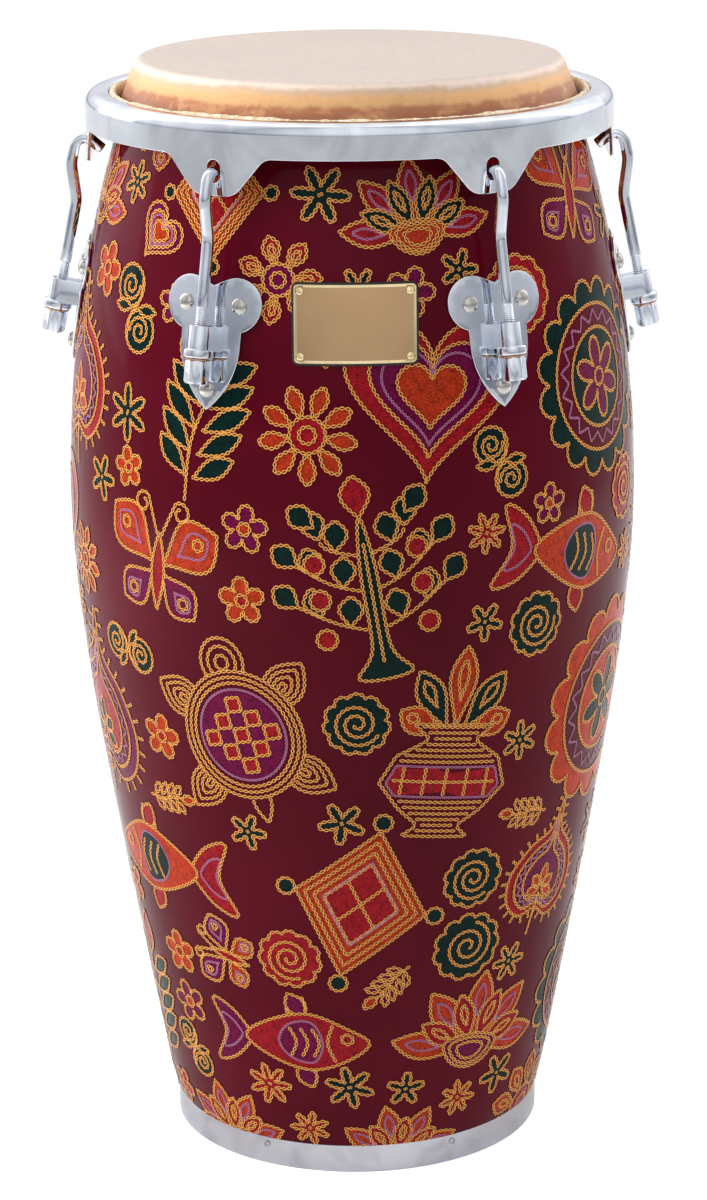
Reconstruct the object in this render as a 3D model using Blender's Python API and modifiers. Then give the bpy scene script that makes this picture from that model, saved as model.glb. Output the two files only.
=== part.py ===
"""Conga with six hooked tuning rods. Metres, +Z up, standing on z = 0 round the Z axis, front at -Y."""

import math

import bmesh
import bpy
import numpy as np
from mathutils import Matrix, Vector

# Fit between pieces, and how far a cutter reaches past what it cuts
GAP = 0.0003
BOLT_CLEARANCE = 0.0004
CUT_MARGIN = 0.002

# Whole drum
HEIGHT = 0.762
LUG_COUNT = 6
FACETS_PER_LUG = 8
FRONT = math.radians(270)

# Shell
SHELL_WALL = 0.0055
FOOT_WALL = 0.0045
FOOT_RADIUS = 0.1277
FOOT_FLARE = 0.1382
FOOT_TUCK = 0.0055
TUCK_HEIGHT = 0.045
BELLY_RADIUS = 0.1958
BELLY_HEIGHT = 0.4653
MOUTH_RADIUS = 0.1423
CREST_WIDTH = 0.0008
EDGE_HEIGHT = 0.006

# Bottom ring
RING_HEIGHT = 0.020
RING_SHEET = 0.0015
RING_LIP = 0.009
RING_SCREW_HEIGHT = 0.015
RING_SCREW_LENGTH = 0.0035

# Head
SKIN = 0.0016
HOOP_BAR_RADIUS = 0.005
HOOP_INSET = 0.015
WRAP_START = math.radians(205)
WRAP_END = math.radians(475)

# Rim
RIM_DROP = 0.0215
RIM_DEPTH = 0.0235
RIM_OVERHANG = 0.0367
RIM_SHEET = 0.0025
RIM_FLANGE = 0.003
RIM_FLANGE_WIDTH = 0.016
RIM_CORNER = 0.008
EAR_DEPTH = 0.025
EAR_FLAT = 0.0076
EAR_FLANK = math.radians(49.5)
EAR_TIP_RADIUS = 0.015
EAR_ROOT_RADIUS = 0.010
SEAT_ABOVE_TIP = 0.0084
SLOT_HEIGHT = 0.0149
SLOT_SIDE_CLEARANCE = 0.0008

# Tuning rods
ROD_RADIUS = 0.004
ROD_TOE_IN = math.radians(1.43)
ROD_STANDOFF = 0.0125
HOOK_ANGLE = math.radians(41)
HOOK_REACH = 0.0125
HOOK_OVERHANG = 0.0091
HOOK_SEAT_CLEARANCE = 0.0014
SHOULDER_OVERHANG = 0.0108
SHOULDER_DROP = 0.0238
KNEE_RISE = 0.0556
ARCH_RADIUS = 0.0075
BEND_RADIUS = 0.025
THREAD_END = 0.001

# Lug plates, with heights measured up from the top of the strap
LUG_DROP = 0.151
PLATE_THICKNESS = 0.0025
LOBE_RADIUS = 0.0175
LOBE_SPREAD = 0.017
LOBE_RISE = 0.0112
NOTCH_RISE = 0.023
LEAF_HALF_WIDTH = 0.0218
LEAF_RISE = -0.013
TIP_RISE = -0.0565
STRAP_HEIGHT = 0.015
STRAP_RADIUS = 0.0074
STRAP_WALL = 0.002
COLLAR_RADIUS = 0.0098
COLLAR_HEIGHT = 0.0058
COLLAR_CLEARANCE = 0.0005

# Lug bolts and the plates behind them
BOLT_SPREAD = 0.0195
BOLT_RISE = 0.011
LOWER_BOLT_RISE = -0.043
BOLT_RADIUS = 0.003
BOLT_HEAD_RADIUS = 0.0055
BOLT_HEAD_HEIGHT = 0.0035
BACKING_THICKNESS = 0.002
BACKING_MARGIN = 0.009
WELD_NUT_RADIUS = 0.0058
WELD_NUT_HEIGHT = 0.004

# Tuning nuts
NUT_RADIUS = 0.0081
NUT_LENGTH = 0.0152
NUT_CHAMFER = 0.0012
WASHER_RADIUS = 0.0086
WASHER_THICKNESS = 0.001

# Badge
BADGE_DROP = 0.149
BADGE_WIDTH = 0.078
BADGE_HEIGHT = 0.0495
BADGE_CORNER = 0.003
BADGE_THICKNESS = 0.0012
GASKET_MARGIN = 0.0015
GASKET_THICKNESS = 0.0008
BADGE_SCREW_INSET = 0.0042
BADGE_SCREW_DEPTH = 0.004

# Small screws
SCREW_RADIUS = 0.0013
SCREW_HEAD_RADIUS = 0.0024
SCREW_HEAD_HEIGHT = 0.0012

# Heights and radii that follow from the ones above
FACETS = FACETS_PER_LUG * LUG_COUNT
SHELL_BOTTOM = RING_SHEET + GAP
SHELL_TOP = HEIGHT - SKIN - GAP
EDGE_BASE = SHELL_TOP - EDGE_HEIGHT
EDGE_WIDTH = SHELL_WALL - CREST_WIDTH
RIM_RADIUS = MOUTH_RADIUS + RIM_OVERHANG
RIM_TOP = HEIGHT - RIM_DROP
RIM_BOTTOM = RIM_TOP - RIM_DEPTH
WRAP_INNER_RADIUS = HOOP_BAR_RADIUS + GAP
HOOP_CIRCLE = RIM_RADIUS - HOOP_INSET
HOOP_HEIGHT = RIM_TOP - RIM_FLANGE - GAP - SKIN - WRAP_INNER_RADIUS
EAR_TIP = RIM_BOTTOM - EAR_DEPTH
EAR_SEAT = EAR_TIP + SEAT_ABOVE_TIP
STRAP_TOP = HEIGHT - LUG_DROP
BADGE_CENTRE = HEIGHT - BADGE_DROP
NUT_TOP = -(STRAP_HEIGHT + COLLAR_HEIGHT + GAP)
NUT_BOTTOM = NUT_TOP - WASHER_THICKNESS - NUT_LENGTH


def shell_radius(height):
    """Outer radius of the shell: a flare that straightens towards the foot, and a rounded shoulder above."""
    if height < BELLY_HEIGHT:
        drop = math.hypot(BELLY_HEIGHT - height, FOOT_FLARE) - FOOT_FLARE
        full = math.hypot(BELLY_HEIGHT, FOOT_FLARE) - FOOT_FLARE
        tuck = FOOT_TUCK * max(0, 1 - height / TUCK_HEIGHT) ** 2
        return BELLY_RADIUS - (BELLY_RADIUS - FOOT_RADIUS) * drop / full - tuck
    share = (height - BELLY_HEIGHT) / (SHELL_TOP - BELLY_HEIGHT)
    return BELLY_RADIUS - (BELLY_RADIUS - MOUTH_RADIUS) * share**2


def shell_tilt(height):
    """How far the shell's side leans in towards the top at a height, as an angle."""
    step = BELLY_HEIGHT / 500
    return math.atan((shell_radius(height - step) - shell_radius(height + step)) / (2 * step))


# Sizes that follow from the shell's side
RING_RADIUS = shell_radius(RING_HEIGHT)
RING_GROOVE_RADIUS = RING_RADIUS - RING_SHEET - GAP
ROD_LEAN = shell_tilt(STRAP_TOP) + ROD_TOE_IN

MATERIALS = {
    "printed_fibreglass": ((0.12, 0.006, 0.02), 0.12, 0.0),
    "chrome": ((0.72, 0.74, 0.78), 0.08, 1.0),
    "satin_steel": ((0.62, 0.63, 0.66), 0.3, 1.0),
    "nickel": ((0.66, 0.63, 0.56), 0.22, 1.0),
    "rawhide": ((0.72, 0.47, 0.23), 0.5, 0.0),
    "brass": ((0.62, 0.45, 0.17), 0.25, 1.0),
    "rubber": ((0.015, 0.015, 0.015), 0.7, 0.0),
}


# Scene set-up

def clear_scene():
    for obj in list(bpy.data.objects):
        bpy.data.objects.remove(obj, do_unlink=True)


def new_collection(name):
    collection = bpy.data.collections.new(name)
    bpy.context.scene.collection.children.link(collection)
    return collection


def material(name):
    found = bpy.data.materials.get(name)
    if found:
        return found
    colour, roughness, metallic = MATERIALS[name]
    made = bpy.data.materials.new(name)
    made.use_nodes = True
    shader = made.node_tree.nodes["Principled BSDF"]
    shader.inputs["Base Color"].default_value = (*colour, 1)
    shader.inputs["Roughness"].default_value = roughness
    shader.inputs["Metallic"].default_value = metallic
    made.diffuse_color = (*colour, 1)
    return made


# Modelling helpers

def add_object(name, data):
    obj = bpy.data.objects.new(name, data)
    bpy.data.collections["conga_cutters"].objects.link(obj)
    obj.hide_render = True
    obj.display_type = "WIRE"
    return obj


def frozen(obj):
    """The object's evaluated mesh in world space, welded. The object and its own cutters are removed."""
    bpy.context.view_layer.update()
    evaluated = obj.evaluated_get(bpy.context.evaluated_depsgraph_get())
    mesh = bpy.data.meshes.new_from_object(evaluated)
    mesh.transform(obj.matrix_world)
    cutters = [m.object for m in obj.modifiers if m.type == "BOOLEAN"]
    name = obj.name
    for used in cutters + [obj]:
        bpy.data.objects.remove(used, do_unlink=True)
    work = bmesh.new()
    work.from_mesh(mesh)
    bmesh.ops.remove_doubles(work, verts=work.verts, dist=1e-6)
    bmesh.ops.recalc_face_normals(work, faces=work.faces)
    work.to_mesh(mesh)
    work.free()
    mesh.materials.clear()
    mesh.name = name
    return mesh


def turned(name, profile, steps, closed=True):
    """A profile of (radius, height) points turned round Z. An open one starts and ends on the axis."""
    mesh = bpy.data.meshes.new(name)
    edges = [(i, i + 1) for i in range(len(profile) - 1)]
    if closed:
        edges.append((len(profile) - 1, 0))
    mesh.from_pydata([(radius, 0, height) for radius, height in profile], edges, [])
    obj = add_object(name, mesh)
    screw = obj.modifiers.new("turn", "SCREW")
    screw.steps = screw.render_steps = steps
    screw.use_merge_vertices = True
    screw.merge_threshold = 0.00001
    return obj


def extruded(name, outline, depth, frame):
    """A flat outline in the frame's XY plane, as deep as depth and centred on that plane."""
    curve = bpy.data.curves.new(name, "CURVE")
    curve.dimensions = "2D"
    curve.fill_mode = "BOTH"
    curve.extrude = depth / 2
    spline = curve.splines.new("POLY")
    spline.points.add(len(outline) - 1)
    for point, (x, y) in zip(spline.points, outline):
        point.co = (x, y, 0, 1)
    spline.use_cyclic_u = True
    obj = add_object(name, curve)
    obj.matrix_world = frame
    return add_object(name, frozen(obj))


def joined(name, objects):
    """Closed shapes that don't meet, as one cutter."""
    work = bmesh.new()
    for obj in objects:
        work.from_mesh(frozen(obj))
    mesh = bpy.data.meshes.new(name)
    work.to_mesh(mesh)
    work.free()
    return add_object(name, mesh)


def boolean(target, other, operation):
    modifier = target.modifiers.new(operation.lower(), "BOOLEAN")
    modifier.operation = operation
    modifier.object = other
    return target


def place(name, data, material_name, frame=Matrix()):
    """A finished piece of the drum."""
    obj = bpy.data.objects.new(name, data)
    bpy.data.collections["conga"].objects.link(obj)
    obj.matrix_world = frame
    data.materials.clear()
    data.materials.append(material(material_name))
    data.shade_smooth()
    data.set_sharp_from_angle(angle=math.radians(35))
    return obj


def arc(centre, radii, start, end, count):
    """Points along an ellipse's arc, with angles from the first axis towards the second."""
    return [
        (
            centre[0] + radii[0] * math.cos(start + (end - start) * i / count),
            centre[1] + radii[1] * math.sin(start + (end - start) * i / count),
        )
        for i in range(count + 1)
    ]


def spaced(start, end, count):
    return [start + (end - start) * i / count for i in range(count + 1)]


def mirrored(half):
    """A closed outline from the points of its right half, which runs from the top to the bottom."""
    return half + [(-x, y) for x, y in reversed(half) if x > 1e-9]


def rounded_path(corners, radii, steps):
    """A route of straight runs with an arc at each inner corner."""
    points = [corners[0]]
    for before, corner, after, radius in zip(corners, corners[1:], corners[2:], radii):
        to_before = (before - corner).normalized()
        to_after = (after - corner).normalized()
        half = to_before.angle(to_after) / 2
        centre = corner + (to_before + to_after).normalized() * radius / math.sin(half)
        start = corner + to_before * radius / math.tan(half) - centre
        end = corner + to_after * radius / math.tan(half) - centre
        points += [centre + start.slerp(end, i / steps) * radius for i in range(steps + 1)]
    return points + [corners[-1]]


# Where things lie

def on_shell(angle, height):
    """A frame on the shell's outer face: +Z along the outward normal, +X level and +Y up the shell."""
    radius = shell_radius(height)
    place_on = Matrix.Translation((radius * math.cos(angle), radius * math.sin(angle), height))
    turn = Matrix.Rotation(angle + math.pi / 2, 4, "Z")
    return place_on @ turn @ Matrix.Rotation(math.pi / 2 - shell_tilt(height), 4, "X")


def radial_frame(angle, height):
    """A frame on the axis: +Z level and outwards, +X level along the shell and +Y up."""
    turn = Matrix.Rotation(angle + math.pi / 2, 4, "Z")
    return Matrix.Translation((0, 0, height)) @ turn @ Matrix.Rotation(math.pi / 2, 4, "X")


def lug_angle(index):
    return FRONT + (index + 0.5) * 2 * math.pi / LUG_COUNT


def lug_turn(index):
    return Matrix.Rotation(lug_angle(index), 4, "Z")


def rod_frame():
    """For the lug on the +X axis: the top of the strap on the rod's axis, +Z up the rod, +X outwards."""
    radius = shell_radius(STRAP_TOP) + GAP + PLATE_THICKNESS + ROD_STANDOFF
    return Matrix.Translation((radius, 0, STRAP_TOP)) @ Matrix.Rotation(-ROD_LEAN, 4, "Y")


def bolt_frames():
    """The three bolts of the lug on the +X axis."""
    side = math.asin(BOLT_SPREAD / shell_radius(STRAP_TOP + BOLT_RISE))
    upper = STRAP_TOP + BOLT_RISE
    return [on_shell(-side, upper), on_shell(side, upper), on_shell(0, STRAP_TOP + LOWER_BOLT_RISE)]


def shell_rings():
    """Heights of the rings of points that the shell's side is turned from, top first."""
    above = spaced(EDGE_BASE, BELLY_HEIGHT, 6)
    return above + spaced(BELLY_HEIGHT, RING_HEIGHT + GAP, 7)[1:]


def faceted_radius(height):
    """Radius of the shell's side as it is turned, straight from ring to ring."""
    rings = shell_rings()[::-1]
    return float(np.interp(height, rings, [shell_radius(ring) for ring in rings]))


def sleeve(name, inner_offset, outer_offset, bottom, top):
    """A ring that follows the shell's side at two offsets from it."""
    between = [ring for ring in shell_rings() if bottom < ring < top]
    heights = [top] + between + [bottom]
    outer = [(faceted_radius(height) + outer_offset, height) for height in heights]
    inner = [(faceted_radius(height) + inner_offset, height) for height in reversed(heights)]
    return turned(name, outer + inner, FACETS)


def on_sleeve(name, outline, angle, centre_height, inner_offset, outer_offset):
    """A flat outline pressed onto the shell: the part of a sleeve that lies behind it."""
    bottom = centre_height + min(y for _, y in outline) - CUT_MARGIN
    top = centre_height + max(y for _, y in outline) + CUT_MARGIN
    ring = sleeve(name, inner_offset, outer_offset, bottom, top)
    reach = 2 * BELLY_RADIUS
    frame = radial_frame(angle, centre_height) @ Matrix.Translation((0, 0, reach / 2))
    return boolean(ring, extruded(name + "_outline", outline, reach, frame), "INTERSECT")


def pin(name, frame, radius, start, end, sides=8):
    """A round cutter along the frame's Z axis. Its flats stay outside the given radius, and one faces +X."""
    corner = radius / math.cos(math.pi / sides)
    profile = [(0, end), (corner, end), (corner, start), (0, start)]
    obj = turned(name, profile, sides, closed=False)
    obj.matrix_world = frame @ Matrix.Rotation(math.pi / sides, 4, "Z")
    return obj


# Shell and foot

def make_shell():
    rings = shell_rings()
    outer = [(shell_radius(height), height) for height in rings[1:]]
    edge_centre = (shell_radius(EDGE_BASE) - EDGE_WIDTH, EDGE_BASE)
    crest = arc(edge_centre, (EDGE_WIDTH, EDGE_HEIGHT), math.pi / 2, 0, 3)
    foot = [
        (RING_GROOVE_RADIUS, RING_HEIGHT + GAP),
        (RING_GROOVE_RADIUS, SHELL_BOTTOM),
        (RING_GROOVE_RADIUS - FOOT_WALL, SHELL_BOTTOM),
        (RING_GROOVE_RADIUS - FOOT_WALL, RING_HEIGHT + GAP),
    ]
    inner = [(shell_radius(height) - SHELL_WALL, height) for height in rings[-2::-1]]
    inner.append((shell_radius(EDGE_BASE) - SHELL_WALL, SHELL_TOP - CREST_WIDTH))
    shell = turned("shell", crest + outer + foot + inner, FACETS)
    boolean(shell, joined("shell_holes", shell_holes()), "DIFFERENCE")
    place("shell", frozen(shell), "printed_fibreglass")


def shell_holes():
    holes = []
    for index in range(LUG_COUNT):
        for frame in bolt_frames():
            turned_frame = lug_turn(index) @ frame
            radius = BOLT_RADIUS + BOLT_CLEARANCE
            holes.append(pin("bolt_hole", turned_frame, radius, -2 * SHELL_WALL, SHELL_WALL))
        frame = ring_screw_frame(index)
        depth = -(RING_SHEET + GAP + RING_SCREW_LENGTH)
        holes.append(pin("ring_screw_hole", frame, SCREW_RADIUS + GAP, depth, CUT_MARGIN))
    for frame in badge_screw_frames():
        depth = -(BADGE_SCREW_DEPTH + GAP)
        holes.append(pin("badge_screw_hole", frame, SCREW_RADIUS + GAP, depth, CUT_MARGIN))
    return holes


def make_bottom_ring():
    inner_lip = RING_RADIUS - RING_LIP
    profile = [
        (RING_RADIUS, RING_HEIGHT),
        (RING_RADIUS, 0),
        (inner_lip, 0),
        (inner_lip, RING_SHEET),
        (RING_RADIUS - RING_SHEET, RING_SHEET),
        (RING_RADIUS - RING_SHEET, RING_HEIGHT),
    ]
    ring = turned("bottom_ring", profile, FACETS)
    depth = -(RING_SHEET + CUT_MARGIN)
    holes = [
        pin("ring_hole", ring_screw_frame(index), SCREW_RADIUS + GAP, depth, CUT_MARGIN)
        for index in range(LUG_COUNT)
    ]
    boolean(ring, joined("ring_holes", holes), "DIFFERENCE")
    place("bottom_ring", frozen(ring), "satin_steel")


def ring_screw_frame(index):
    outwards = Matrix.Translation((0, 0, RING_RADIUS))
    return radial_frame(lug_angle(index), RING_SCREW_HEIGHT) @ outwards


def screw_mesh(name, length):
    """A domed screw whose head sits on z = 0, with its shank going down."""
    dome = arc((0, GAP), (SCREW_HEAD_RADIUS, SCREW_HEAD_HEIGHT), math.pi / 2, 0, 2)
    profile = dome + [(SCREW_RADIUS, GAP), (SCREW_RADIUS, -length), (0, -length)]
    return frozen(turned(name, profile, 8, closed=False))


def make_ring_screws():
    mesh = screw_mesh("ring_screw", RING_SHEET + RING_SCREW_LENGTH)
    for index in range(LUG_COUNT):
        place(f"ring_screw_{index + 1}", mesh, "satin_steel", ring_screw_frame(index))


# Head and rim

def make_flesh_hoop():
    bar = arc((HOOP_CIRCLE, HOOP_HEIGHT), (HOOP_BAR_RADIUS,) * 2, 0, -2 * math.pi, 8)[:-1]
    place("flesh_hoop", frozen(turned("flesh_hoop", bar, FACETS)), "satin_steel")


def make_head_skin():
    """The skin's outer face, from the middle over the bearing edge and round the hoop, made solid inwards."""
    wrap = arc((HOOP_CIRCLE, HOOP_HEIGHT), (WRAP_INNER_RADIUS,) * 2, WRAP_START, WRAP_END, 8)
    width = EDGE_WIDTH + GAP + SKIN
    rise = EDGE_HEIGHT + GAP + SKIN
    centre = (shell_radius(EDGE_BASE) - EDGE_WIDTH, EDGE_BASE)
    across = (wrap[0][0] - centre[0]) / width
    along = (wrap[0][1] - centre[1]) / rise
    leaves_edge = math.atan2(along, across) + math.acos(1 / math.hypot(across, along))
    shoulder = arc(centre, (width, rise), math.pi / 2, leaves_edge, 3)
    skin = turned("head_skin", [(0, HEIGHT)] + shoulder + wrap, FACETS, closed=False)
    solid = skin.modifiers.new("thickness", "SOLIDIFY")
    solid.thickness = SKIN
    solid.offset = -1
    solid.use_even_offset = True
    place("head_skin", frozen(skin), "rawhide")


def rim_profile():
    lip_radius = RIM_RADIUS - RIM_FLANGE_WIDTH
    corner = (RIM_RADIUS - RIM_CORNER, RIM_TOP - RIM_CORNER)
    outer = arc(corner, (RIM_CORNER, RIM_CORNER), math.pi / 2, 0, 3)
    inner_radii = (RIM_CORNER - RIM_SHEET, RIM_CORNER - RIM_FLANGE)
    inner = arc(corner, inner_radii, 0, math.pi / 2, 2)
    wall = [(RIM_RADIUS, RIM_BOTTOM), (RIM_RADIUS - RIM_SHEET, RIM_BOTTOM)]
    lip = [(lip_radius, RIM_TOP - RIM_FLANGE), (lip_radius, RIM_TOP)]
    return outer + wall + inner + lip


def ear_outline():
    """A V with straight flanks, a broad round tip and a fillet at the rim, measured up from its tip."""
    flank_foot = EAR_FLAT + EAR_TIP_RADIUS * math.tan(EAR_FLANK / 2)
    root_start = EAR_DEPTH - EAR_ROOT_RADIUS * (1 - math.cos(EAR_FLANK))
    spread = flank_foot + root_start / math.tan(EAR_FLANK) + EAR_ROOT_RADIUS * math.sin(EAR_FLANK)
    level = math.pi / 2
    root_centre = (spread, EAR_DEPTH - EAR_ROOT_RADIUS)
    root = arc(root_centre, (EAR_ROOT_RADIUS,) * 2, level, level + EAR_FLANK, 3)
    tip_centre = (EAR_FLAT, EAR_TIP_RADIUS)
    tip = arc(tip_centre, (EAR_TIP_RADIUS,) * 2, EAR_FLANK - level, -level, 4)
    return mirrored([(spread, EAR_DEPTH + RIM_SHEET)] + root + tip)


def slot_outline():
    half = ROD_RADIUS + SLOT_SIDE_CLEARANCE
    top = arc((0, SLOT_HEIGHT - half), (half, half), math.pi / 2, 0, 4)
    bottom = arc((0, half), (half, half), 0, -math.pi / 2, 4)
    return mirrored(top + bottom)


def make_rim():
    rim = turned("rim", rim_profile(), FACETS)
    skirt_profile = [
        (RIM_RADIUS, RIM_BOTTOM + RIM_SHEET / 2),
        (RIM_RADIUS, EAR_TIP - GAP),
        (RIM_RADIUS - RIM_SHEET, EAR_TIP - GAP),
        (RIM_RADIUS - RIM_SHEET, RIM_BOTTOM + RIM_SHEET / 2),
    ]
    skirt = turned("skirt", skirt_profile, FACETS)
    reach = 2 * RIM_RADIUS
    ears = []
    slots = []
    for index in range(LUG_COUNT):
        outwards = Matrix.Translation((0, 0, reach / 2))
        ear_frame = radial_frame(lug_angle(index), EAR_TIP) @ outwards
        slot_frame = radial_frame(lug_angle(index), EAR_SEAT) @ outwards
        ears.append(extruded("ear", ear_outline(), reach, ear_frame))
        slots.append(extruded("slot", slot_outline(), reach, slot_frame))
    boolean(skirt, joined("ears", apart(ears)), "INTERSECT")
    boolean(rim, add_object("ear_plates", frozen(skirt)), "UNION")
    boolean(rim, joined("slots", apart(slots)), "DIFFERENCE")
    place("rim", frozen(rim), "chrome")


def apart(prisms):
    """Long radial prisms cut short near the axis, so that they don't cross each other."""
    for prism in prisms:
        core = [(RIM_RADIUS / 2, HEIGHT), (RIM_RADIUS / 2, 0)]
        boolean(prism, turned("core", [(0, HEIGHT)] + core + [(0, 0)], 12, closed=False), "DIFFERENCE")
    return prisms


# Lugs

def plate_outline():
    """The three-lobed plate, in level and height from the top of the strap."""
    lobe = Vector((LOBE_SPREAD, LOBE_RISE))
    notch = Vector((0, NOTCH_RISE))
    to_lobe = lobe - notch
    tangent = math.sqrt(to_lobe.length_squared - LOBE_RADIUS**2)
    start = math.atan2(to_lobe.y, to_lobe.x) + math.asin(LOBE_RADIUS / to_lobe.length)
    leaf_radius = (LEAF_HALF_WIDTH**2 + (LEAF_RISE - TIP_RISE) ** 2) / (2 * LEAF_HALF_WIDTH)
    leaf_centre = (LEAF_HALF_WIDTH - leaf_radius, LEAF_RISE)
    tip_angle = math.asin((TIP_RISE - LEAF_RISE) / leaf_radius)
    waist_angle = math.acos((LEAF_HALF_WIDTH - LOBE_SPREAD) / LOBE_RADIUS)
    lobe_arc = arc(lobe, (LOBE_RADIUS,) * 2, start + math.pi / 2, -waist_angle, 8)
    leaf_arc = arc(leaf_centre, (leaf_radius,) * 2, 0, tip_angle, 4)
    rise = notch + Vector((math.cos(start), math.sin(start))) * tangent
    return mirrored([tuple(notch), tuple(rise)] + lobe_arc[1:] + leaf_arc)


def strap_outline():
    """A strap bent round the rod, open towards the shell, in the plane square to the rod."""
    back = -(ROD_STANDOFF + PLATE_THICKNESS / 2)
    outer = arc((0, 0), (STRAP_RADIUS,) * 2, -math.pi / 2, math.pi / 2, 6)
    inner_radius = STRAP_RADIUS - STRAP_WALL
    inner = arc((0, 0), (inner_radius,) * 2, math.pi / 2, -math.pi / 2, 4)
    return (
        [(back, -STRAP_RADIUS)]
        + outer
        + [(back, STRAP_RADIUS), (back, inner_radius)]
        + inner
        + [(back, -inner_radius)]
    )


def lug_mesh():
    """One lug on the +X axis: the plate, with the strap and its collar welded on."""
    plate = on_sleeve("lug_plate", plate_outline(), 0, STRAP_TOP, GAP, GAP + PLATE_THICKNESS)
    plate = add_object("lug_plate", frozen(plate))
    depth = STRAP_HEIGHT + COLLAR_HEIGHT / 2
    strap_frame = rod_frame() @ Matrix.Translation((0, 0, -depth / 2))
    boolean(plate, extruded("strap", strap_outline(), depth, strap_frame), "UNION")
    bottom = -(STRAP_HEIGHT + COLLAR_HEIGHT)
    boolean(plate, pin("collar", rod_frame(), COLLAR_RADIUS, bottom, -STRAP_HEIGHT, 16), "UNION")
    radius = BOLT_RADIUS + BOLT_CLEARANCE
    face = GAP + PLATE_THICKNESS + CUT_MARGIN
    holes = [pin("hole", frame, radius, -CUT_MARGIN, face) for frame in bolt_frames()]
    bore = ROD_RADIUS + COLLAR_CLEARANCE
    holes.append(pin("bore", rod_frame(), bore, bottom - CUT_MARGIN, CUT_MARGIN, 12))
    boolean(plate, joined("lug_holes", holes), "DIFFERENCE")
    return frozen(plate)


def make_lugs():
    mesh = lug_mesh()
    for index in range(LUG_COUNT):
        place(f"lug_plate_{index + 1}", mesh, "chrome", lug_turn(index))


def bolt_mesh():
    """A dome-headed bolt whose head rests on the lug plate and whose shank ends past the weld nut."""
    seat = GAP + PLATE_THICKNESS + GAP
    end = -(SHELL_WALL + 2 * GAP + BACKING_THICKNESS + WELD_NUT_HEIGHT + THREAD_END)
    dome = arc((0, seat), (BOLT_HEAD_RADIUS, BOLT_HEAD_HEIGHT), math.pi / 2, 0, 3)
    profile = dome + [(BOLT_RADIUS, seat), (BOLT_RADIUS, end), (0, end)]
    return frozen(turned("lug_bolt", profile, 8, closed=False))


def make_lug_bolts():
    mesh = bolt_mesh()
    for index in range(LUG_COUNT):
        for place_name, frame in zip(("left", "right", "lower"), bolt_frames()):
            name = f"lug_bolt_{index + 1}_{place_name}"
            place(name, mesh, "nickel", lug_turn(index) @ frame)


def backing_outline():
    """A triangle with round corners about the three bolts, in level and height from the top of the strap."""
    radius = BACKING_MARGIN
    rise = BOLT_RISE - LOWER_BOLT_RISE
    lean = math.atan2(BOLT_SPREAD, rise)
    upper = arc((BOLT_SPREAD, BOLT_RISE), (radius, radius), math.pi / 2, -lean, 3)
    lower = arc((0, LOWER_BOLT_RISE), (radius, radius), -lean, -math.pi / 2, 2)
    return mirrored(upper + lower)


def backing_mesh():
    """The plate inside the shell behind one lug, with the nuts of its bolts welded on."""
    outer_offset = -(SHELL_WALL + GAP)
    inner_offset = outer_offset - BACKING_THICKNESS
    plate = on_sleeve(
        "backing_plate", backing_outline(), 0, STRAP_TOP, inner_offset, outer_offset
    )
    plate = add_object("backing_plate", frozen(plate))
    embedded = BACKING_THICKNESS / 2
    nuts = []
    holes = []
    for frame in bolt_frames():
        nut_start = inner_offset - WELD_NUT_HEIGHT
        nuts.append(pin("weld_nut", frame, WELD_NUT_RADIUS, nut_start, inner_offset + embedded, 6))
        radius = BOLT_RADIUS + BOLT_CLEARANCE
        holes.append(pin("hole", frame, radius, nut_start - CUT_MARGIN, outer_offset + CUT_MARGIN))
    boolean(plate, joined("weld_nuts", nuts), "UNION")
    boolean(plate, joined("backing_holes", holes), "DIFFERENCE")
    return frozen(plate)


def make_backing_plates():
    mesh = backing_mesh()
    for index in range(LUG_COUNT):
        place(f"backing_plate_{index + 1}", mesh, "satin_steel", lug_turn(index))


# Tuning rods and nuts

def hook_corners():
    """The bends of one tuning rod, from the tip of its hook to its lower end, for the lug on the +X axis."""
    seat = (ROD_RADIUS + HOOK_SEAT_CLEARANCE) / math.cos(HOOK_ANGLE)
    in_slot = Vector((RIM_RADIUS - RIM_SHEET / 2, 0, EAR_SEAT + seat))
    along_hook = Vector((math.cos(HOOK_ANGLE), 0, math.sin(HOOK_ANGLE)))
    arch = in_slot + along_hook * HOOK_OVERHANG
    shoulder = Vector((RIM_RADIUS + SHOULDER_OVERHANG, 0, arch.z - SHOULDER_DROP))
    frame = rod_frame()
    knee = frame @ Vector((0, 0, KNEE_RISE))
    end = frame @ Vector((0, 0, NUT_BOTTOM + THREAD_END))
    return [in_slot - along_hook * HOOK_REACH, arch, shoulder, knee, end]


def rod_mesh():
    route = rounded_path(hook_corners(), (ARCH_RADIUS, BEND_RADIUS, BEND_RADIUS), 3)
    curve = bpy.data.curves.new("hook_rod", "CURVE")
    curve.dimensions = "3D"
    curve.bevel_depth = ROD_RADIUS
    curve.bevel_resolution = 2
    curve.use_fill_caps = True
    spline = curve.splines.new("POLY")
    spline.points.add(len(route) - 1)
    for point, position in zip(spline.points, route):
        point.co = (*position, 1)
    return frozen(add_object("hook_rod", curve))


def make_rods():
    mesh = rod_mesh()
    axis = rod_frame()
    mesh.transform(axis.inverted())
    for index in range(LUG_COUNT):
        place(f"hook_rod_{index + 1}", mesh, "chrome", lug_turn(index) @ axis)


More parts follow.
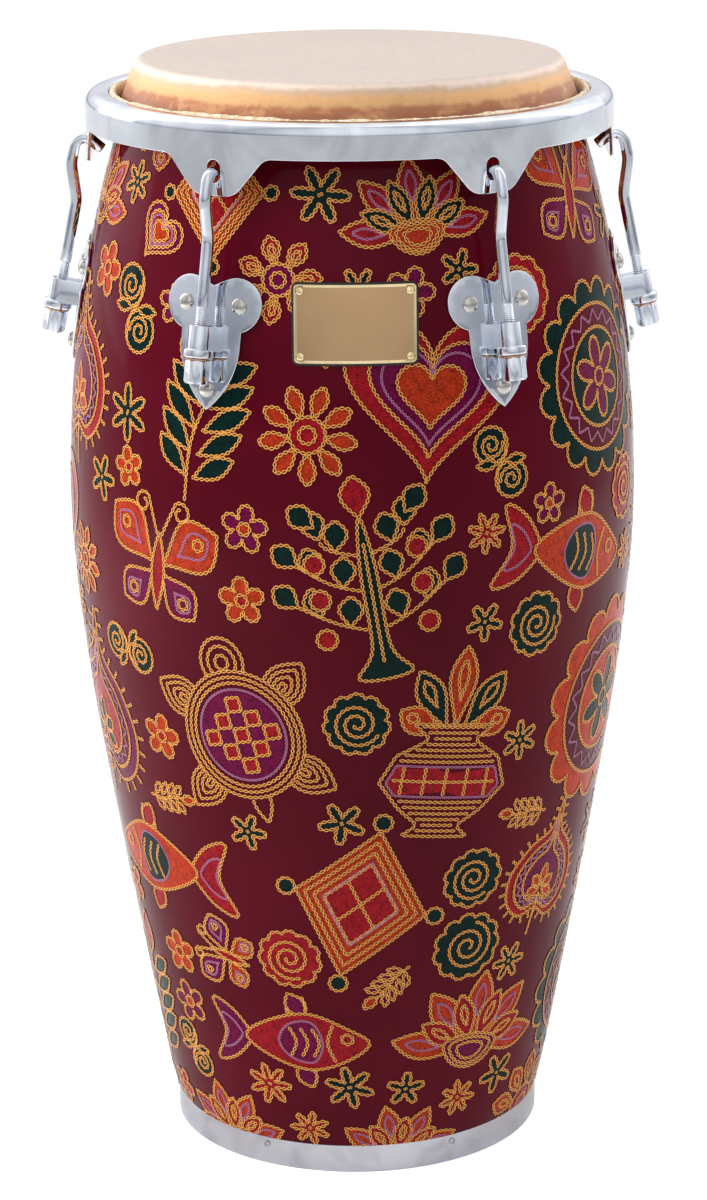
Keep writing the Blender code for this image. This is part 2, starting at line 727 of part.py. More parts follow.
def nut_mesh():
    """A long hexagon nut under its washer, in the rod's frame."""
    corner = NUT_RADIUS
    chamfer = NUT_CHAMFER
    under_washer = NUT_TOP - WASHER_THICKNESS
    profile = [
        (0, under_washer + WASHER_THICKNESS / 2),
        (corner, under_washer + WASHER_THICKNESS / 2),
        (corner, NUT_BOTTOM + chamfer),
        (corner - chamfer, NUT_BOTTOM),
        (0, NUT_BOTTOM),
    ]
    nut = turned("tension_nut", profile, 6, closed=False)
    washer = pin("washer", Matrix(), WASHER_RADIUS, under_washer, NUT_TOP, 16)
    boolean(nut, washer, "UNION")
    bottom = NUT_BOTTOM - CUT_MARGIN
    bore = pin("bore", Matrix(), ROD_RADIUS + GAP, bottom, NUT_TOP + CUT_MARGIN, 12)
    boolean(nut, bore, "DIFFERENCE")
    return frozen(nut)


def make_nuts():
    mesh = nut_mesh()
    for index in range(LUG_COUNT):
        place(f"tension_nut_{index + 1}", mesh, "chrome", lug_turn(index) @ rod_frame())


# Badge

def rounded_rectangle(width, height, corner):
    x = width / 2 - corner
    y = height / 2 - corner
    upper = arc((x, y), (corner, corner), math.pi / 2, 0, 3)
    lower = arc((x, -y), (corner, corner), 0, -math.pi / 2, 3)
    return mirrored(upper + lower)


def badge_screw_frames():
    level = BADGE_WIDTH / 2 - BADGE_SCREW_INSET
    rise = BADGE_HEIGHT / 2 - BADGE_SCREW_INSET
    frames = []
    for across, up in ((-1, 1), (1, 1), (-1, -1), (1, -1)):
        height = BADGE_CENTRE + up * rise
        turn = math.asin(across * level / shell_radius(height))
        frames.append(on_shell(FRONT + turn, height))
    return frames


def badge_layer(name, width, height, corner, inner_offset, thickness):
    outline = rounded_rectangle(width, height, corner)
    outer_offset = inner_offset + thickness
    layer = on_sleeve(name, outline, FRONT, BADGE_CENTRE, inner_offset, outer_offset)
    layer = add_object(name, frozen(layer))
    top = outer_offset + CUT_MARGIN
    holes = [
        pin("hole", frame, SCREW_RADIUS + GAP, -CUT_MARGIN, top) for frame in badge_screw_frames()
    ]
    boolean(layer, joined(name + "_holes", holes), "DIFFERENCE")
    return frozen(layer)


def make_badge():
    gasket = badge_layer(
        "badge_gasket",
        BADGE_WIDTH + 2 * GASKET_MARGIN,
        BADGE_HEIGHT + 2 * GASKET_MARGIN,
        BADGE_CORNER + GASKET_MARGIN,
        GAP,
        GASKET_THICKNESS,
    )
    place("badge_gasket", gasket, "rubber")
    plate_offset = GAP + GASKET_THICKNESS + GAP
    plate = badge_layer(
        "badge_plate", BADGE_WIDTH, BADGE_HEIGHT, BADGE_CORNER, plate_offset, BADGE_THICKNESS
    )
    place("badge_plate", plate, "brass")
    face = plate_offset + BADGE_THICKNESS
    mesh = screw_mesh("badge_screw", face + BADGE_SCREW_DEPTH)
    for index, frame in enumerate(badge_screw_frames()):
        on_face = frame @ Matrix.Translation((0, 0, face))
        place(f"badge_screw_{index + 1}", mesh, "brass", on_face)


def main():
    clear_scene()
    new_collection("conga")
    new_collection("conga_cutters")
    make_shell()
    make_bottom_ring()
    make_ring_screws()
    make_flesh_hoop()
    make_head_skin()
    make_rim()
    make_lugs()
    make_lug_bolts()
    make_backing_plates()
    make_rods()
    make_nuts()
    make_badge()


main()
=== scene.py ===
"""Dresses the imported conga: stitched print, natural skin, chrome hardware, brass badge and a pale studio."""

import math
import random

import bmesh
import bpy
import numpy as np
from mathutils import Matrix, Vector
from mathutils.geometry import delaunay_2d_cdt


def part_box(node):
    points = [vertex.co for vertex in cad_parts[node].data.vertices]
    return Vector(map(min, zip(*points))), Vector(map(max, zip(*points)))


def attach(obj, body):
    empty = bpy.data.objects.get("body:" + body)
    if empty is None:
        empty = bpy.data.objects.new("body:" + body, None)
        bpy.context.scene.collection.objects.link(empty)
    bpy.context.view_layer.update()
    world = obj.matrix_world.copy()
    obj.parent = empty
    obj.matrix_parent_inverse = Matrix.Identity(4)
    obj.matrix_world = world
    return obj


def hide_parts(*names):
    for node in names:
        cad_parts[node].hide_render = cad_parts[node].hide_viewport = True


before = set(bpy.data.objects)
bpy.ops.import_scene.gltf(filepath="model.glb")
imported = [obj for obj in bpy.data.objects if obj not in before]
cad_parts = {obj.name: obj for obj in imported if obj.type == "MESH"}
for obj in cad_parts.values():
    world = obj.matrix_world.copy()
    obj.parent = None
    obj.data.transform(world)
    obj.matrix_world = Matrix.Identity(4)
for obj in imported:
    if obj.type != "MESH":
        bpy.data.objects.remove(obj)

bl_info = {
    "name": "Conga Dresser",
    "version": (1, 0, 0),
    "blender": (4, 5, 0),
    "location": "3D View > Sidebar > Conga",
    "description": "Builds the visible finish of a conga on its packed solids",
    "category": "Object",
}

# Whole drum, in metres
HEAD_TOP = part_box("head_skin")[1].z
LUG_COUNT = 6
FRONT = math.radians(270)
FINE_STEPS = 288
GAP = 0.0003
BODY_OF_SHELL = "drum_body"
BODY_OF_HEAD = "head_and_rim"

# Shell
SHELL_WALL = 0.0055
FOOT_WALL = 0.0045
FOOT_RADIUS = 0.1277
FOOT_FLARE = 0.1382
FOOT_TUCK = 0.0055
TUCK_HEIGHT = 0.045
BELLY_RADIUS = 0.1958
BELLY_HEIGHT = 0.4653
MOUTH_RADIUS = 0.1423
SKIN = 0.0016
SHELL_TOP = HEAD_TOP - SKIN - GAP
CREST_WIDTH = 0.0008
EDGE_HEIGHT = 0.006
EDGE_BASE = SHELL_TOP - EDGE_HEIGHT
EDGE_WIDTH = SHELL_WALL - CREST_WIDTH

# Bottom ring
RING_HEIGHT = 0.020
RING_SHEET = 0.0015
RING_LIP = 0.009
RING_SCREW_HEIGHT = 0.015
SHELL_BOTTOM = RING_SHEET + GAP

# Head and rim
HOOP_BAR_RADIUS = 0.005
HOOP_INSET = 0.015
RIM_DROP = 0.0215
RIM_DEPTH = 0.0235
RIM_SHEET = 0.0025
RIM_FLANGE = 0.003
RIM_FLANGE_WIDTH = 0.016
RIM_CORNER = 0.008
RIM_RADIUS = MOUTH_RADIUS + 0.0367
RIM_TOP = HEAD_TOP - RIM_DROP
RIM_BOTTOM = RIM_TOP - RIM_DEPTH
LIP_RADIUS = RIM_RADIUS - RIM_FLANGE_WIDTH
WRAP_RADIUS = HOOP_BAR_RADIUS + GAP
HOOP_CIRCLE = RIM_RADIUS - HOOP_INSET
HOOP_HEIGHT = RIM_TOP - RIM_FLANGE - GAP - SKIN - WRAP_RADIUS
EAR_DEPTH = 0.025
EAR_FLAT = 0.0076
EAR_FLANK = math.radians(49.5)
EAR_TIP_RADIUS = 0.015
EAR_ROOT_RADIUS = 0.010
EAR_TIP = RIM_BOTTOM - EAR_DEPTH
EAR_SEAT = EAR_TIP + 0.0084
SLOT_HEIGHT = 0.0149
SLOT_HALF_WIDTH = 0.0048
RIM_EDGE = 0.0006

# How finely the rim and sheets are cut up, and how many steps go round their softened edges
RIM_STEPS = 360
SHEET_STEP = 0.004
EDGE_STEPS = 8

# Tuning rods
ROD_RADIUS = 0.004
ROD_STANDOFF = 0.0125
HOOK_ANGLE = math.radians(41)
HOOK_REACH = 0.0125
HOOK_OVERHANG = 0.0091
HOOK_SEAT_CLEARANCE = 0.0014
SHOULDER_OVERHANG = 0.0108
SHOULDER_DROP = 0.0238
KNEE_RISE = 0.0556
ARCH_RADIUS = 0.0075
BEND_RADIUS = 0.025
THREAD_TOP = 0.0128
THREAD_PITCH = 0.00125
THREAD_DEPTH = 0.00045
STEPS_PER_PITCH = 6

# Lugs, with heights measured up from the top of the strap
STRAP_TOP = HEAD_TOP - 0.151
PLATE_THICKNESS = 0.0025
PLATE_EDGE = 0.0005
LOBE_RADIUS = 0.0175
LOBE_SPREAD = 0.017
LOBE_RISE = 0.0112
NOTCH_RISE = 0.023
LEAF_HALF_WIDTH = 0.0218
LEAF_RISE = -0.013
TIP_RISE = -0.0565
STRAP_HEIGHT = 0.015
STRAP_RADIUS = 0.0074
STRAP_WALL = 0.002
COLLAR_RADIUS = 0.0098
COLLAR_HEIGHT = 0.0058
COLLAR_PLAY = 0.0005
BOLT_SPREAD = 0.0195
BOLT_RISE = 0.011
LOWER_BOLT_RISE = -0.043
BOLT_HEAD_RADIUS = 0.0055
BOLT_HEAD_HEIGHT = 0.0035
BOLT_SHANK_RADIUS = 0.003
BOLT_LENGTH = 0.0138
NUT_RADIUS = 0.0081
NUT_CHAMFER = 0.0012
NUT_HEIGHT = 0.0152
WASHER_RADIUS = 0.0086
WASHER_THICKNESS = 0.001
NUT_TOP = -(STRAP_HEIGHT + COLLAR_HEIGHT + GAP)
NUT_BOTTOM = NUT_TOP - WASHER_THICKNESS - NUT_HEIGHT

# Badge
BADGE_CENTRE = HEAD_TOP - 0.149
BADGE_WIDTH = 0.078
BADGE_HEIGHT = 0.0495
BADGE_CORNER = 0.003
BADGE_THICKNESS = 0.0012
GASKET_MARGIN = 0.0015
GASKET_THICKNESS = 0.0008
BADGE_SCREW_INSET = 0.0042
BADGE_SCREW_SINK = 0.0002
SCREW_HEAD_RADIUS = 0.0024
SCREW_HEAD_HEIGHT = 0.0012
SCREW_SHANK_RADIUS = 0.0012
SCREW_LENGTH = 0.003


def shell_radius(height):
    """Outer radius of the shell, as the solid's source has it."""
    if height < BELLY_HEIGHT:
        drop = math.hypot(BELLY_HEIGHT - height, FOOT_FLARE) - FOOT_FLARE
        full = math.hypot(BELLY_HEIGHT, FOOT_FLARE) - FOOT_FLARE
        tuck = FOOT_TUCK * max(0, 1 - height / TUCK_HEIGHT) ** 2
        return BELLY_RADIUS - (BELLY_RADIUS - FOOT_RADIUS) * drop / full - tuck
    share = (height - BELLY_HEIGHT) / (SHELL_TOP - BELLY_HEIGHT)
    return BELLY_RADIUS - (BELLY_RADIUS - MOUTH_RADIUS) * share**2


def shell_tilt(height):
    """How far the shell's side leans in towards the top at a height, as an angle."""
    step = BELLY_HEIGHT / 500
    return math.atan((shell_radius(height - step) - shell_radius(height + step)) / (2 * step))


RING_RADIUS = shell_radius(RING_HEIGHT)
RING_GROOVE_RADIUS = RING_RADIUS - RING_SHEET - GAP
ROD_LEAN = shell_tilt(STRAP_TOP) + math.radians(1.43)


# Settings that a user would change

def colour_setting(name, description, default):
    return bpy.props.FloatVectorProperty(
        name=name, description=description, subtype="COLOR", size=3, min=0, max=1, default=default
    )


def length_setting(name, description, default, low, high):
    return bpy.props.FloatProperty(
        name=name, description=description, unit="LENGTH", default=default, min=low, max=high,
        precision=5,
    )


def share_setting(name, description, default):
    return bpy.props.FloatProperty(
        name=name, description=description, subtype="FACTOR", default=default, min=0, max=1
    )


def strength_setting(name, description, default):
    return bpy.props.FloatProperty(name=name, description=description, default=default, min=0)


class CongaPrintSettings(bpy.types.PropertyGroup):
    """Colours and stitch sizes of the printed shell."""

    ground: colour_setting("Ground", "Maroon cloth under the stitches", (0.078, 0.0011, 0.0080))
    amber: colour_setting("Amber thread", "Thread of the chain stitches", (0.86, 0.42, 0.085))
    lilac: colour_setting("Lilac thread", "Thread of the fine borders", (0.52, 0.22, 0.33))
    green: colour_setting("Green filling", "Dark green stitched filling", (0.0022, 0.016, 0.0135))
    red: colour_setting("Red filling", "Crimson stitched filling", (0.30, 0.0075, 0.014))
    orange: colour_setting("Orange filling", "Orange-red stitched filling", (0.42, 0.034, 0.009))
    purple: colour_setting("Purple filling", "Purple stitched filling", (0.135, 0.003, 0.042))
    pitch: length_setting("Stitch", "Length of one chain stitch", 0.0040, 0.002, 0.01)
    chain_width: length_setting("Chain width", "Width of one chain", 0.0027, 0.001, 0.006)
    thread_width: length_setting("Thread width", "Width of one thread", 0.00080, 0.0003, 0.002)
    gloss: share_setting("Gloss", "Weight of the clear coat", 0.85)
    seed: bpy.props.IntProperty(name="Seed", description="Layout of the small figures", default=7)


class CongaHeadSettings(bpy.types.PropertyGroup):
    """Colours of the natural skin."""

    face: colour_setting("Playing face", "Pale middle of the skin", (0.625, 0.518, 0.45))
    shoulder: colour_setting("Shoulder", "Amber skin over the bearing edge", (0.71, 0.41, 0.19))
    band: colour_setting("Tucked band", "Red-brown skin above the rim", (0.38, 0.155, 0.078))
    ragged: length_setting("Ragged edge", "How uneven the cut edge is", 0.0011, 0, 0.004)


class CongaMetalSettings(bpy.types.PropertyGroup):
    """Finish of the chromed, plated and brass parts."""

    chrome: colour_setting("Chrome", "Polished chrome", (0.72, 0.755, 0.82))
    steel: colour_setting("Satin steel", "Bottom ring and inner plates", (0.46, 0.465, 0.51))
    nickel: colour_setting("Nickel", "Dome bolts", (0.52, 0.50, 0.46))
    brass: colour_setting("Brass", "Field of the badge", (0.55, 0.35, 0.185))
    border: colour_setting("Polished brass", "Border and screws of the badge", (0.86, 0.70, 0.42))
    polish: share_setting("Polish", "Roughness of the chrome", 0.045)


class CongaStageSettings(bpy.types.PropertyGroup):
    """Camera, lamps and floor."""

    distance: length_setting("Camera distance", "From the drum's axis", 2.4683, 0.5, 10)
    camera_height: length_setting("Camera height", "Above the floor", 1.0750, 0, 5)
    orbit: bpy.props.FloatProperty(
        name="Orbit", description="Camera's turn round the drum", subtype="ANGLE",
        default=math.radians(0.8),
    )
    lens: bpy.props.FloatProperty(name="Lens", description="Focal length, mm", default=109.2, min=1)
    floor: colour_setting("Floor", "Colour of the floor", (0.92, 0.92, 0.92))
    floor_glow: share_setting("Floor white", "What the floor adds where the camera sees it", 0.5)
    room: strength_setting("Room light", "Strength of the even light", 0.56)
    side_lamps: strength_setting("Side lamps", "Power of the side softboxes, W", 36)
    top_lamp: strength_setting("Top lamp", "Power of the top softbox, W", 15)


# Materials

def new_material(name, colour, roughness, metallic=0.0, **sockets):
    """A Principled material. Numbers that are the same all over are set on its own sockets."""
    made = bpy.data.materials.new(name)
    made.use_nodes = True
    shader = made.node_tree.nodes["Principled BSDF"]
    shader.inputs["Base Color"].default_value = (*colour, 1)
    shader.inputs["Roughness"].default_value = roughness
    shader.inputs["Metallic"].default_value = metallic
    for socket, value in sockets.items():
        shader.inputs[socket.replace("_", " ")].default_value = value
    made.diffuse_color = (*colour, 1)
    return made


class Nodes:
    """Adds nodes to a material or world, each linked to what feeds it."""

    def __init__(self, owner):
        self.tree = owner.node_tree
        self.shader = self.tree.nodes.get("Principled BSDF")

    def add(self, kind, feeds=(), **settings):
        node = self.tree.nodes.new(kind)
        for name, value in settings.items():
            setattr(node, name, value)
        for socket, value in dict(feeds).items():
            if isinstance(value, bpy.types.NodeSocket):
                self.tree.links.new(value, node.inputs[socket])
            else:
                node.inputs[socket].default_value = value
        return node

    def place(self, scale=(1, 1, 1), space="Object"):
        """Coordinates in metres, or those of the mesh's map, stretched by a scale."""
        source = self.add("ShaderNodeTexCoord").outputs[space]
        return self.add("ShaderNodeMapping", {"Vector": source, "Scale": scale}).outputs["Vector"]

    def noise(self, vector, scale, detail=3.0, roughness=0.5, distortion=0.0):
        feeds = {
            "Vector": vector, "Scale": scale, "Detail": detail, "Roughness": roughness,
            "Distortion": distortion,
        }
        return self.add("ShaderNodeTexNoise", feeds).outputs["Fac"]

    def cells(self, vector, scale, feature="F1"):
        feeds = {"Vector": vector, "Scale": scale}
        return self.add("ShaderNodeTexVoronoi", feeds, feature=feature).outputs["Distance"]

    def ramp(self, amount, stops):
        """A value turned into colours, from (place, colour) stops."""
        node = self.add("ShaderNodeValToRGB", {"Fac": amount})
        ramp = node.color_ramp
        while len(ramp.elements) < len(stops):
            ramp.elements.new(0.5)
        for element, (position, colour) in zip(ramp.elements, stops):
            element.position = position
            element.color = (*colour, 1)
        return node.outputs["Color"]

    def spread(self, amount, low, high, start=0.0, end=1.0):
        feeds = {0: amount, 1: start, 2: end, 3: low, 4: high}
        return self.add("ShaderNodeMapRange", feeds).outputs[0]

    def maths(self, operation, *values):
        return self.add("ShaderNodeMath", enumerate(values), operation=operation).outputs[0]

    def weighed(self, first, first_share, second, second_share):
        """The sum of two values, each times its share."""
        parts = self.maths("MULTIPLY", first, first_share), self.maths("MULTIPLY", second, second_share)
        return self.maths("ADD", *parts)

    def mix(self, amount, first, second, blend="MIX"):
        feeds = {0: amount, 6: first, 7: second}
        node = self.add("ShaderNodeMix", feeds, data_type="RGBA", blend_type=blend)
        return node.outputs[2]

    def bump(self, height, distance, strength=1.0):
        feeds = {"Height": height, "Distance": distance, "Strength": strength}
        return self.add("ShaderNodeBump", feeds).outputs["Normal"]

    def set(self, socket, source):
        self.tree.links.new(source, self.shader.inputs[socket])


# The clear coat over the print, and the wear of the metals
COAT_ROUGHNESS = 0.07
COAT_IOR = 1.16
CLOTH_SHINE = 0.008
WEAR = 0.35


def shades(colour, *factors):
    """The colour at several levels of light."""
    return [tuple(min(1, channel * factor) for channel in colour) for factor in factors]


def coated(name, colour, roughness, settings):
    """Cloth or thread under the clear coat."""
    return new_material(
        name, colour, roughness, Coat_Weight=settings.gloss, Coat_Roughness=COAT_ROUGHNESS,
        Coat_IOR=COAT_IOR, Specular_IOR_Level=CLOTH_SHINE,
    )


def printed_cloth(settings):
    """Maroon cloth with a fine weave, and soft patches from dyeing."""
    made = coated("maroon_print", settings.ground, 0.5, settings)
    nodes = Nodes(made)
    place = nodes.place()
    patches = nodes.noise(place, 9, 4)
    dark, middle, light = shades(settings.ground, 0.78, 1.0, 1.2)
    dyed = nodes.ramp(patches, [(0.3, dark), (0.5, middle), (0.72, light)])
    weave = nodes.noise(place, 1300, 2, 0.7)
    woven = nodes.mix(nodes.spread(weave, 0, 0.3), dyed, (*light, 1))
    nodes.set("Base Color", woven)
    nodes.set("Roughness", nodes.spread(weave, 0.44, 0.58))
    return made


def filling(name, colour, settings):
    """Rows of stitches that fill a figure, mottled where the thread turns."""
    made = coated(name, colour, 0.55, settings)
    nodes = Nodes(made)
    rows = nodes.place((520, 1150, 1), "UV")
    threads = nodes.noise(rows, 1.0, 2.5, 0.6, 0.6)
    patches = nodes.noise(nodes.place((1, 1, 1), "UV"), 160, 3)
    mottled = nodes.weighed(threads, 0.72, patches, 0.28)
    levels = zip((0.34, 0.44, 0.54, 0.68), shades(colour, 0.2, 0.6, 1.0, 1.4))
    nodes.set("Base Color", nodes.ramp(mottled, list(levels)))
    nodes.set("Normal", nodes.bump(threads, 0.00008, 0.3))
    return made


def thread(name, colour, settings):
    """Chain-stitch thread on a flat strip: a painted highlight along its middle and painted shade at its edges
    stand in for its round form, and the edges are pinker in colour, with a twist.
    """
    made = coated(name, colour, 0.5, settings)
    nodes = Nodes(made)
    across = nodes.add("ShaderNodeSeparateXYZ", {0: nodes.add("ShaderNodeTexCoord").outputs["UV"]})
    middle = nodes.maths("PINGPONG", across.outputs["Y"], 0.5)
    # The darker edges and the brighter middle are painted light and shade of a round thread; the pinker tint
    # of the edges is the thread's own colour.
    edge = tuple(channel * factor for channel, factor in zip(colour, (0.66, 0.5, 0.9)))
    low, high = shades(colour, 0.9, 1.1)
    lit = nodes.ramp(middle, [(0.04, edge), (0.3, low), (0.5, high)])
    fibres = nodes.noise(nodes.place((1, 1, 1)), 900, 2, 0.6)
    shade = nodes.ramp(fibres, [(0.3, (0.7, 0.66, 0.66)), (0.6, (1.0, 1.0, 1.0))])
    nodes.set("Base Color", nodes.mix(0.8, lit, shade, "MULTIPLY"))
    nodes.set("Normal", nodes.bump(middle, 0.0002, 0.35))
    return made


def polished(name, colour, roughness):
    """Plated or polished metal: faint polishing marks and slow changes of gloss."""
    made = new_material(name, colour, roughness, 1.0)
    nodes = Nodes(made)
    place = nodes.place()
    film = nodes.noise(place, 26, 3, 0.5, 1.2)
    specks = nodes.noise(place, 600, 2, 0.7)
    low, high = shades(colour, 0.86, 1.06)
    nodes.set("Base Color", nodes.ramp(film, [(0.36, low), (0.58, high)]))
    both = nodes.weighed(film, 0.6, specks, 0.4)
    nodes.set("Roughness", nodes.spread(both, roughness * (1 - WEAR), roughness * (1 + WEAR), 0.3, 0.7))
    nodes.set("Normal", nodes.bump(film, 0.0006, 0.2))
    return made


def satin_brass(colour):
    """The badge's field: satin metal with fine lines and a slow change of tone."""
    roughness = 0.3
    made = new_material("satin_brass", colour, roughness, 1.0)
    nodes = Nodes(made)
    lines = nodes.noise(nodes.place((30, 900, 1), "UV"), 1.0, 3, 0.7)
    film = nodes.noise(nodes.place(), 14, 4)
    low, high = shades(colour, 0.82, 1.12)
    nodes.set("Base Color", nodes.ramp(nodes.weighed(lines, 0.55, film, 0.45), [(0.35, low), (0.62, high)]))
    nodes.set("Roughness", nodes.spread(lines, roughness * 0.8, roughness * 1.25, 0.3, 0.7))
    nodes.set("Normal", nodes.bump(lines, 0.00003, 0.4))
    return made


def natural_skin(settings):
    """Rawhide: pale where it is played, amber over the edge and red-brown where it tucks under the rim, with a
    painted highlight along the crest of the edge.
    """
    made = new_material(
        "natural_skin", settings.face, 0.45, Subsurface_Weight=0.12, Subsurface_Scale=0.004,
        Specular_IOR_Level=0.35,
    )
    made.node_tree.nodes["Principled BSDF"].inputs["Subsurface Radius"].default_value = (1, 0.5, 0.25)
    nodes = Nodes(made)
    place = nodes.place()
    clouds = nodes.noise(place, 11, 4, 0.55, 0.3)
    flecks = nodes.noise(place, 150, 4, 0.65)
    stains = nodes.noise(nodes.place((1, 1, 1.6)), 52, 4, 0.6, 0.6)
    corner = nodes.add("ShaderNodeSeparateXYZ", {0: place})
    height = nodes.maths("ADD", corner.outputs["Z"], nodes.spread(stains, -0.0016, 0.0016, 0.3, 0.7))
    level = nodes.spread(height, 0, 1, RIM_TOP, HEAD_TOP)
    pale, bright = shades(settings.face, 0.96, 1.05)
    warm = tuple(0.5 * (a + b) for a, b in zip(settings.shoulder, settings.face))
    # The stop at 0.86, the face colour made 1.30 times as light, is a painted highlight along the crest of the
    # skin's shoulder.
    slope = nodes.ramp(
        level,
        [(0.02, settings.band), (0.24, shades(settings.band, 1.2)[0]), (0.36, settings.shoulder),
         (0.55, shades(settings.shoulder, 1.12)[0]), (0.72, warm), (0.86, shades(settings.face, 1.30)[0])],
    )
    patches = nodes.spread(stains, 0, 0.75, 0.5, 0.68)
    low = nodes.maths("MULTIPLY", patches, nodes.spread(level, 1, 0, 0.2, 0.42))
    slope = nodes.mix(low, slope, (*settings.shoulder, 1))
    top = nodes.ramp(clouds, [(0.3, pale), (0.7, bright)])
    flat = nodes.spread(corner.outputs["Z"], 0, 1, HEAD_TOP - 0.0022, HEAD_TOP - 0.0002)
    base = nodes.mix(flat, slope, top)
    mottle = nodes.ramp(flecks, [(0.34, (0.88, 0.84, 0.80)), (0.52, (1, 1, 1)), (0.75, (1.0, 0.98, 0.95))])
    nodes.set("Base Color", nodes.mix(0.55, base, mottle, "MULTIPLY"))
    pores = nodes.cells(place, 900)
    nodes.set("Roughness", nodes.spread(clouds, 0.36, 0.48, 0.3, 0.7))
    grain = nodes.weighed(pores, 0.3, flecks, 1.0)
    nodes.set("Normal", nodes.bump(grain, 0.00012, 0.25))
    return made


def cut_edge(settings):
    """The dry cut end of the skin: pale fibres with straw-coloured patches."""
    made = new_material("cut_skin", (0.75, 0.62, 0.42), 0.8, Specular_IOR_Level=0.1)
    nodes = Nodes(made)
    fibres = nodes.noise(nodes.place((1, 1, 0.25)), 380, 4, 0.7, 0.8)
    pale = (0.88, 0.80, 0.67)
    straw = (0.74, 0.55, 0.31)
    dark = shades(settings.shoulder, 0.55)[0]
    nodes.set("Base Color", nodes.ramp(fibres, [(0.3, dark), (0.42, straw), (0.56, pale)]))
    nodes.set("Normal", nodes.bump(fibres, 0.0003, 0.6))
    return made


def black_rubber():
    made = new_material("black_gasket", (0.012, 0.012, 0.013), 0.6)
    nodes = Nodes(made)
    grain = nodes.noise(nodes.place(), 1500, 3)
    nodes.set("Roughness", nodes.spread(grain, 0.5, 0.75))
    nodes.set("Normal", nodes.bump(grain, 0.00004, 0.4))
    return made


# Mesh helpers

def linked(name, data):
    """A new object in the scene."""
    made = bpy.data.objects.new(name, data)
    bpy.context.scene.collection.objects.link(made)
    return made


def add_piece(name, points, faces, material, body, normals=None, uv=None, sharp=None):
    """A mesh piece that rides on a body. Normals and map coordinates are per point."""
    mesh = bpy.data.meshes.new(name)
    mesh.from_pydata([tuple(point) for point in points], [], faces)
    mesh.materials.append(material)
    mesh.shade_smooth()
    if uv is not None:
        corners = np.empty(len(mesh.loops), np.int32)
        mesh.loops.foreach_get("vertex_index", corners)
        layer = mesh.uv_layers.new(name="map")
        layer.data.foreach_set("uv", np.asarray(uv, np.float32)[corners].ravel())
    if sharp is not None:
        mesh.set_sharp_from_angle(angle=math.radians(sharp))
    if normals is not None:
        mesh.normals_split_custom_set_from_vertices([tuple(normal) for normal in normals])
    piece = linked(name, mesh)
    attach(piece, body)
    return piece


def arc(centre, radii, start, end, count):
    """Points along an ellipse's arc, with angles from the first axis towards the second."""
    turns = np.linspace(start, end, count + 1)
    return [
        (centre[0] + radii[0] * math.cos(turn), centre[1] + radii[1] * math.sin(turn)) for turn in turns
    ]


def rounded_side(reach, top, bottom, soft, steps):
    """The right side of an outline, from top to bottom, with rounded corners."""
    upper = arc((reach - soft, top - soft), (soft, soft), math.pi / 2, 0, steps)
    return upper + arc((reach - soft, bottom + soft), (soft, soft), 0, -math.pi / 2, steps)


def about_axis(radius, turn, height):
    """Points from their distances from Z, their angles round it and their heights."""
    places = np.broadcast_arrays(radius * np.cos(turn), radius * np.sin(turn), height)
    return np.stack(places, axis=-1)


def bands(rows, count, first=0, closed=False):
    """Faces between rows of points, each row a loop. Closed joins the last row to the first."""
    faces = []
    for row in range(rows if closed else rows - 1):
        here = first + row * count
        there = first + (row + 1) % rows * count
        for step in range(count):
            after = (step + 1) % count
            faces.append((here + step, here + after, there + after, there + step))
    return faces


def end_faces(rows, count):
    """The faces that close the first and the last of the rows."""
    return [tuple(reversed(range(count))), tuple(range((rows - 1) * count, rows * count))]


def revolve(profile, steps=FINE_STEPS, closed=False):
    """Points, faces and map of a (radius, height) profile turned round Z.

    The faces point outwards where the profile runs down.
    """
    rows = len(profile)
    turns = np.arange(steps) * 2 * math.pi / steps
    radii = np.array([radius for radius, _ in profile])
    heights = np.array([height for _, height in profile])
    points = about_axis(radii[:, None], turns, heights[:, None]).reshape(-1, 3)
    faces = [(a, d, c, b) for a, b, c, d in bands(rows, steps, closed=closed)]
    along = np.concatenate([[0], np.cumsum(np.hypot(np.diff(radii), np.diff(heights)))])
    uv = np.stack([np.tile(turns * radii.max(), rows), np.repeat(along, steps)], axis=-1)
    return points, faces, uv


def mirrored(half):
    """A closed outline from the points of its right half, which runs from the top to the bottom."""
    return half + [(-x, y) for x, y in reversed(half) if x > 1e-9]


def inset(outline, distance):
    """The outline, clockwise, moved inwards by a small distance."""
    points = np.array(outline)
    along = np.roll(points, -1, axis=0) - np.roll(points, 1, axis=0)
    along /= np.linalg.norm(along, axis=1)[:, None]
    return points + distance * np.stack([along[:, 1], -along[:, 0]], axis=-1)


def filled(loops, spacing):
    """2D points and triangles of the area inside the first loop and outside the others."""
    points = []
    edges = []
    for loop in loops:
        first = len(points)
        points += [Vector((float(x), float(y))) for x, y in loop]
        edges += [(first + i, first + (i + 1) % len(loop)) for i in range(len(loop))]
    outer = np.array(loops[0])
    low, high = outer.min(axis=0), outer.max(axis=0)
    grid = [
        (x + (0.5 * spacing if row % 2 else 0), y)
        for row, y in enumerate(np.arange(low[1] + spacing / 2, high[1], spacing))
        for x in np.arange(low[0] + spacing / 2, high[0], spacing)
    ]
    fence = np.array([tuple(point) for point in points])
    for spot in covered(loops, grid):
        if np.hypot(*(fence - grid[spot]).T).min() > 0.5 * spacing:
            points.append(Vector(grid[spot]))
    made = delaunay_2d_cdt(points, edges, [], 0, 1e-9)
    flat = np.array([tuple(point) for point in made[0]])
    middles = [flat[list(face)].mean(axis=0) for face in made[2]]
    return flat, [made[2][face] for face in covered(loops, middles)]


def covered(loops, spots):
    """The numbers of the spots that are inside the first loop and outside the others."""
    spots = np.array(spots).reshape(-1, 2)
    kept = inside(loops[0], spots)
    for loop in loops[1:]:
        kept &= ~inside(loop, spots)
    return np.flatnonzero(kept)


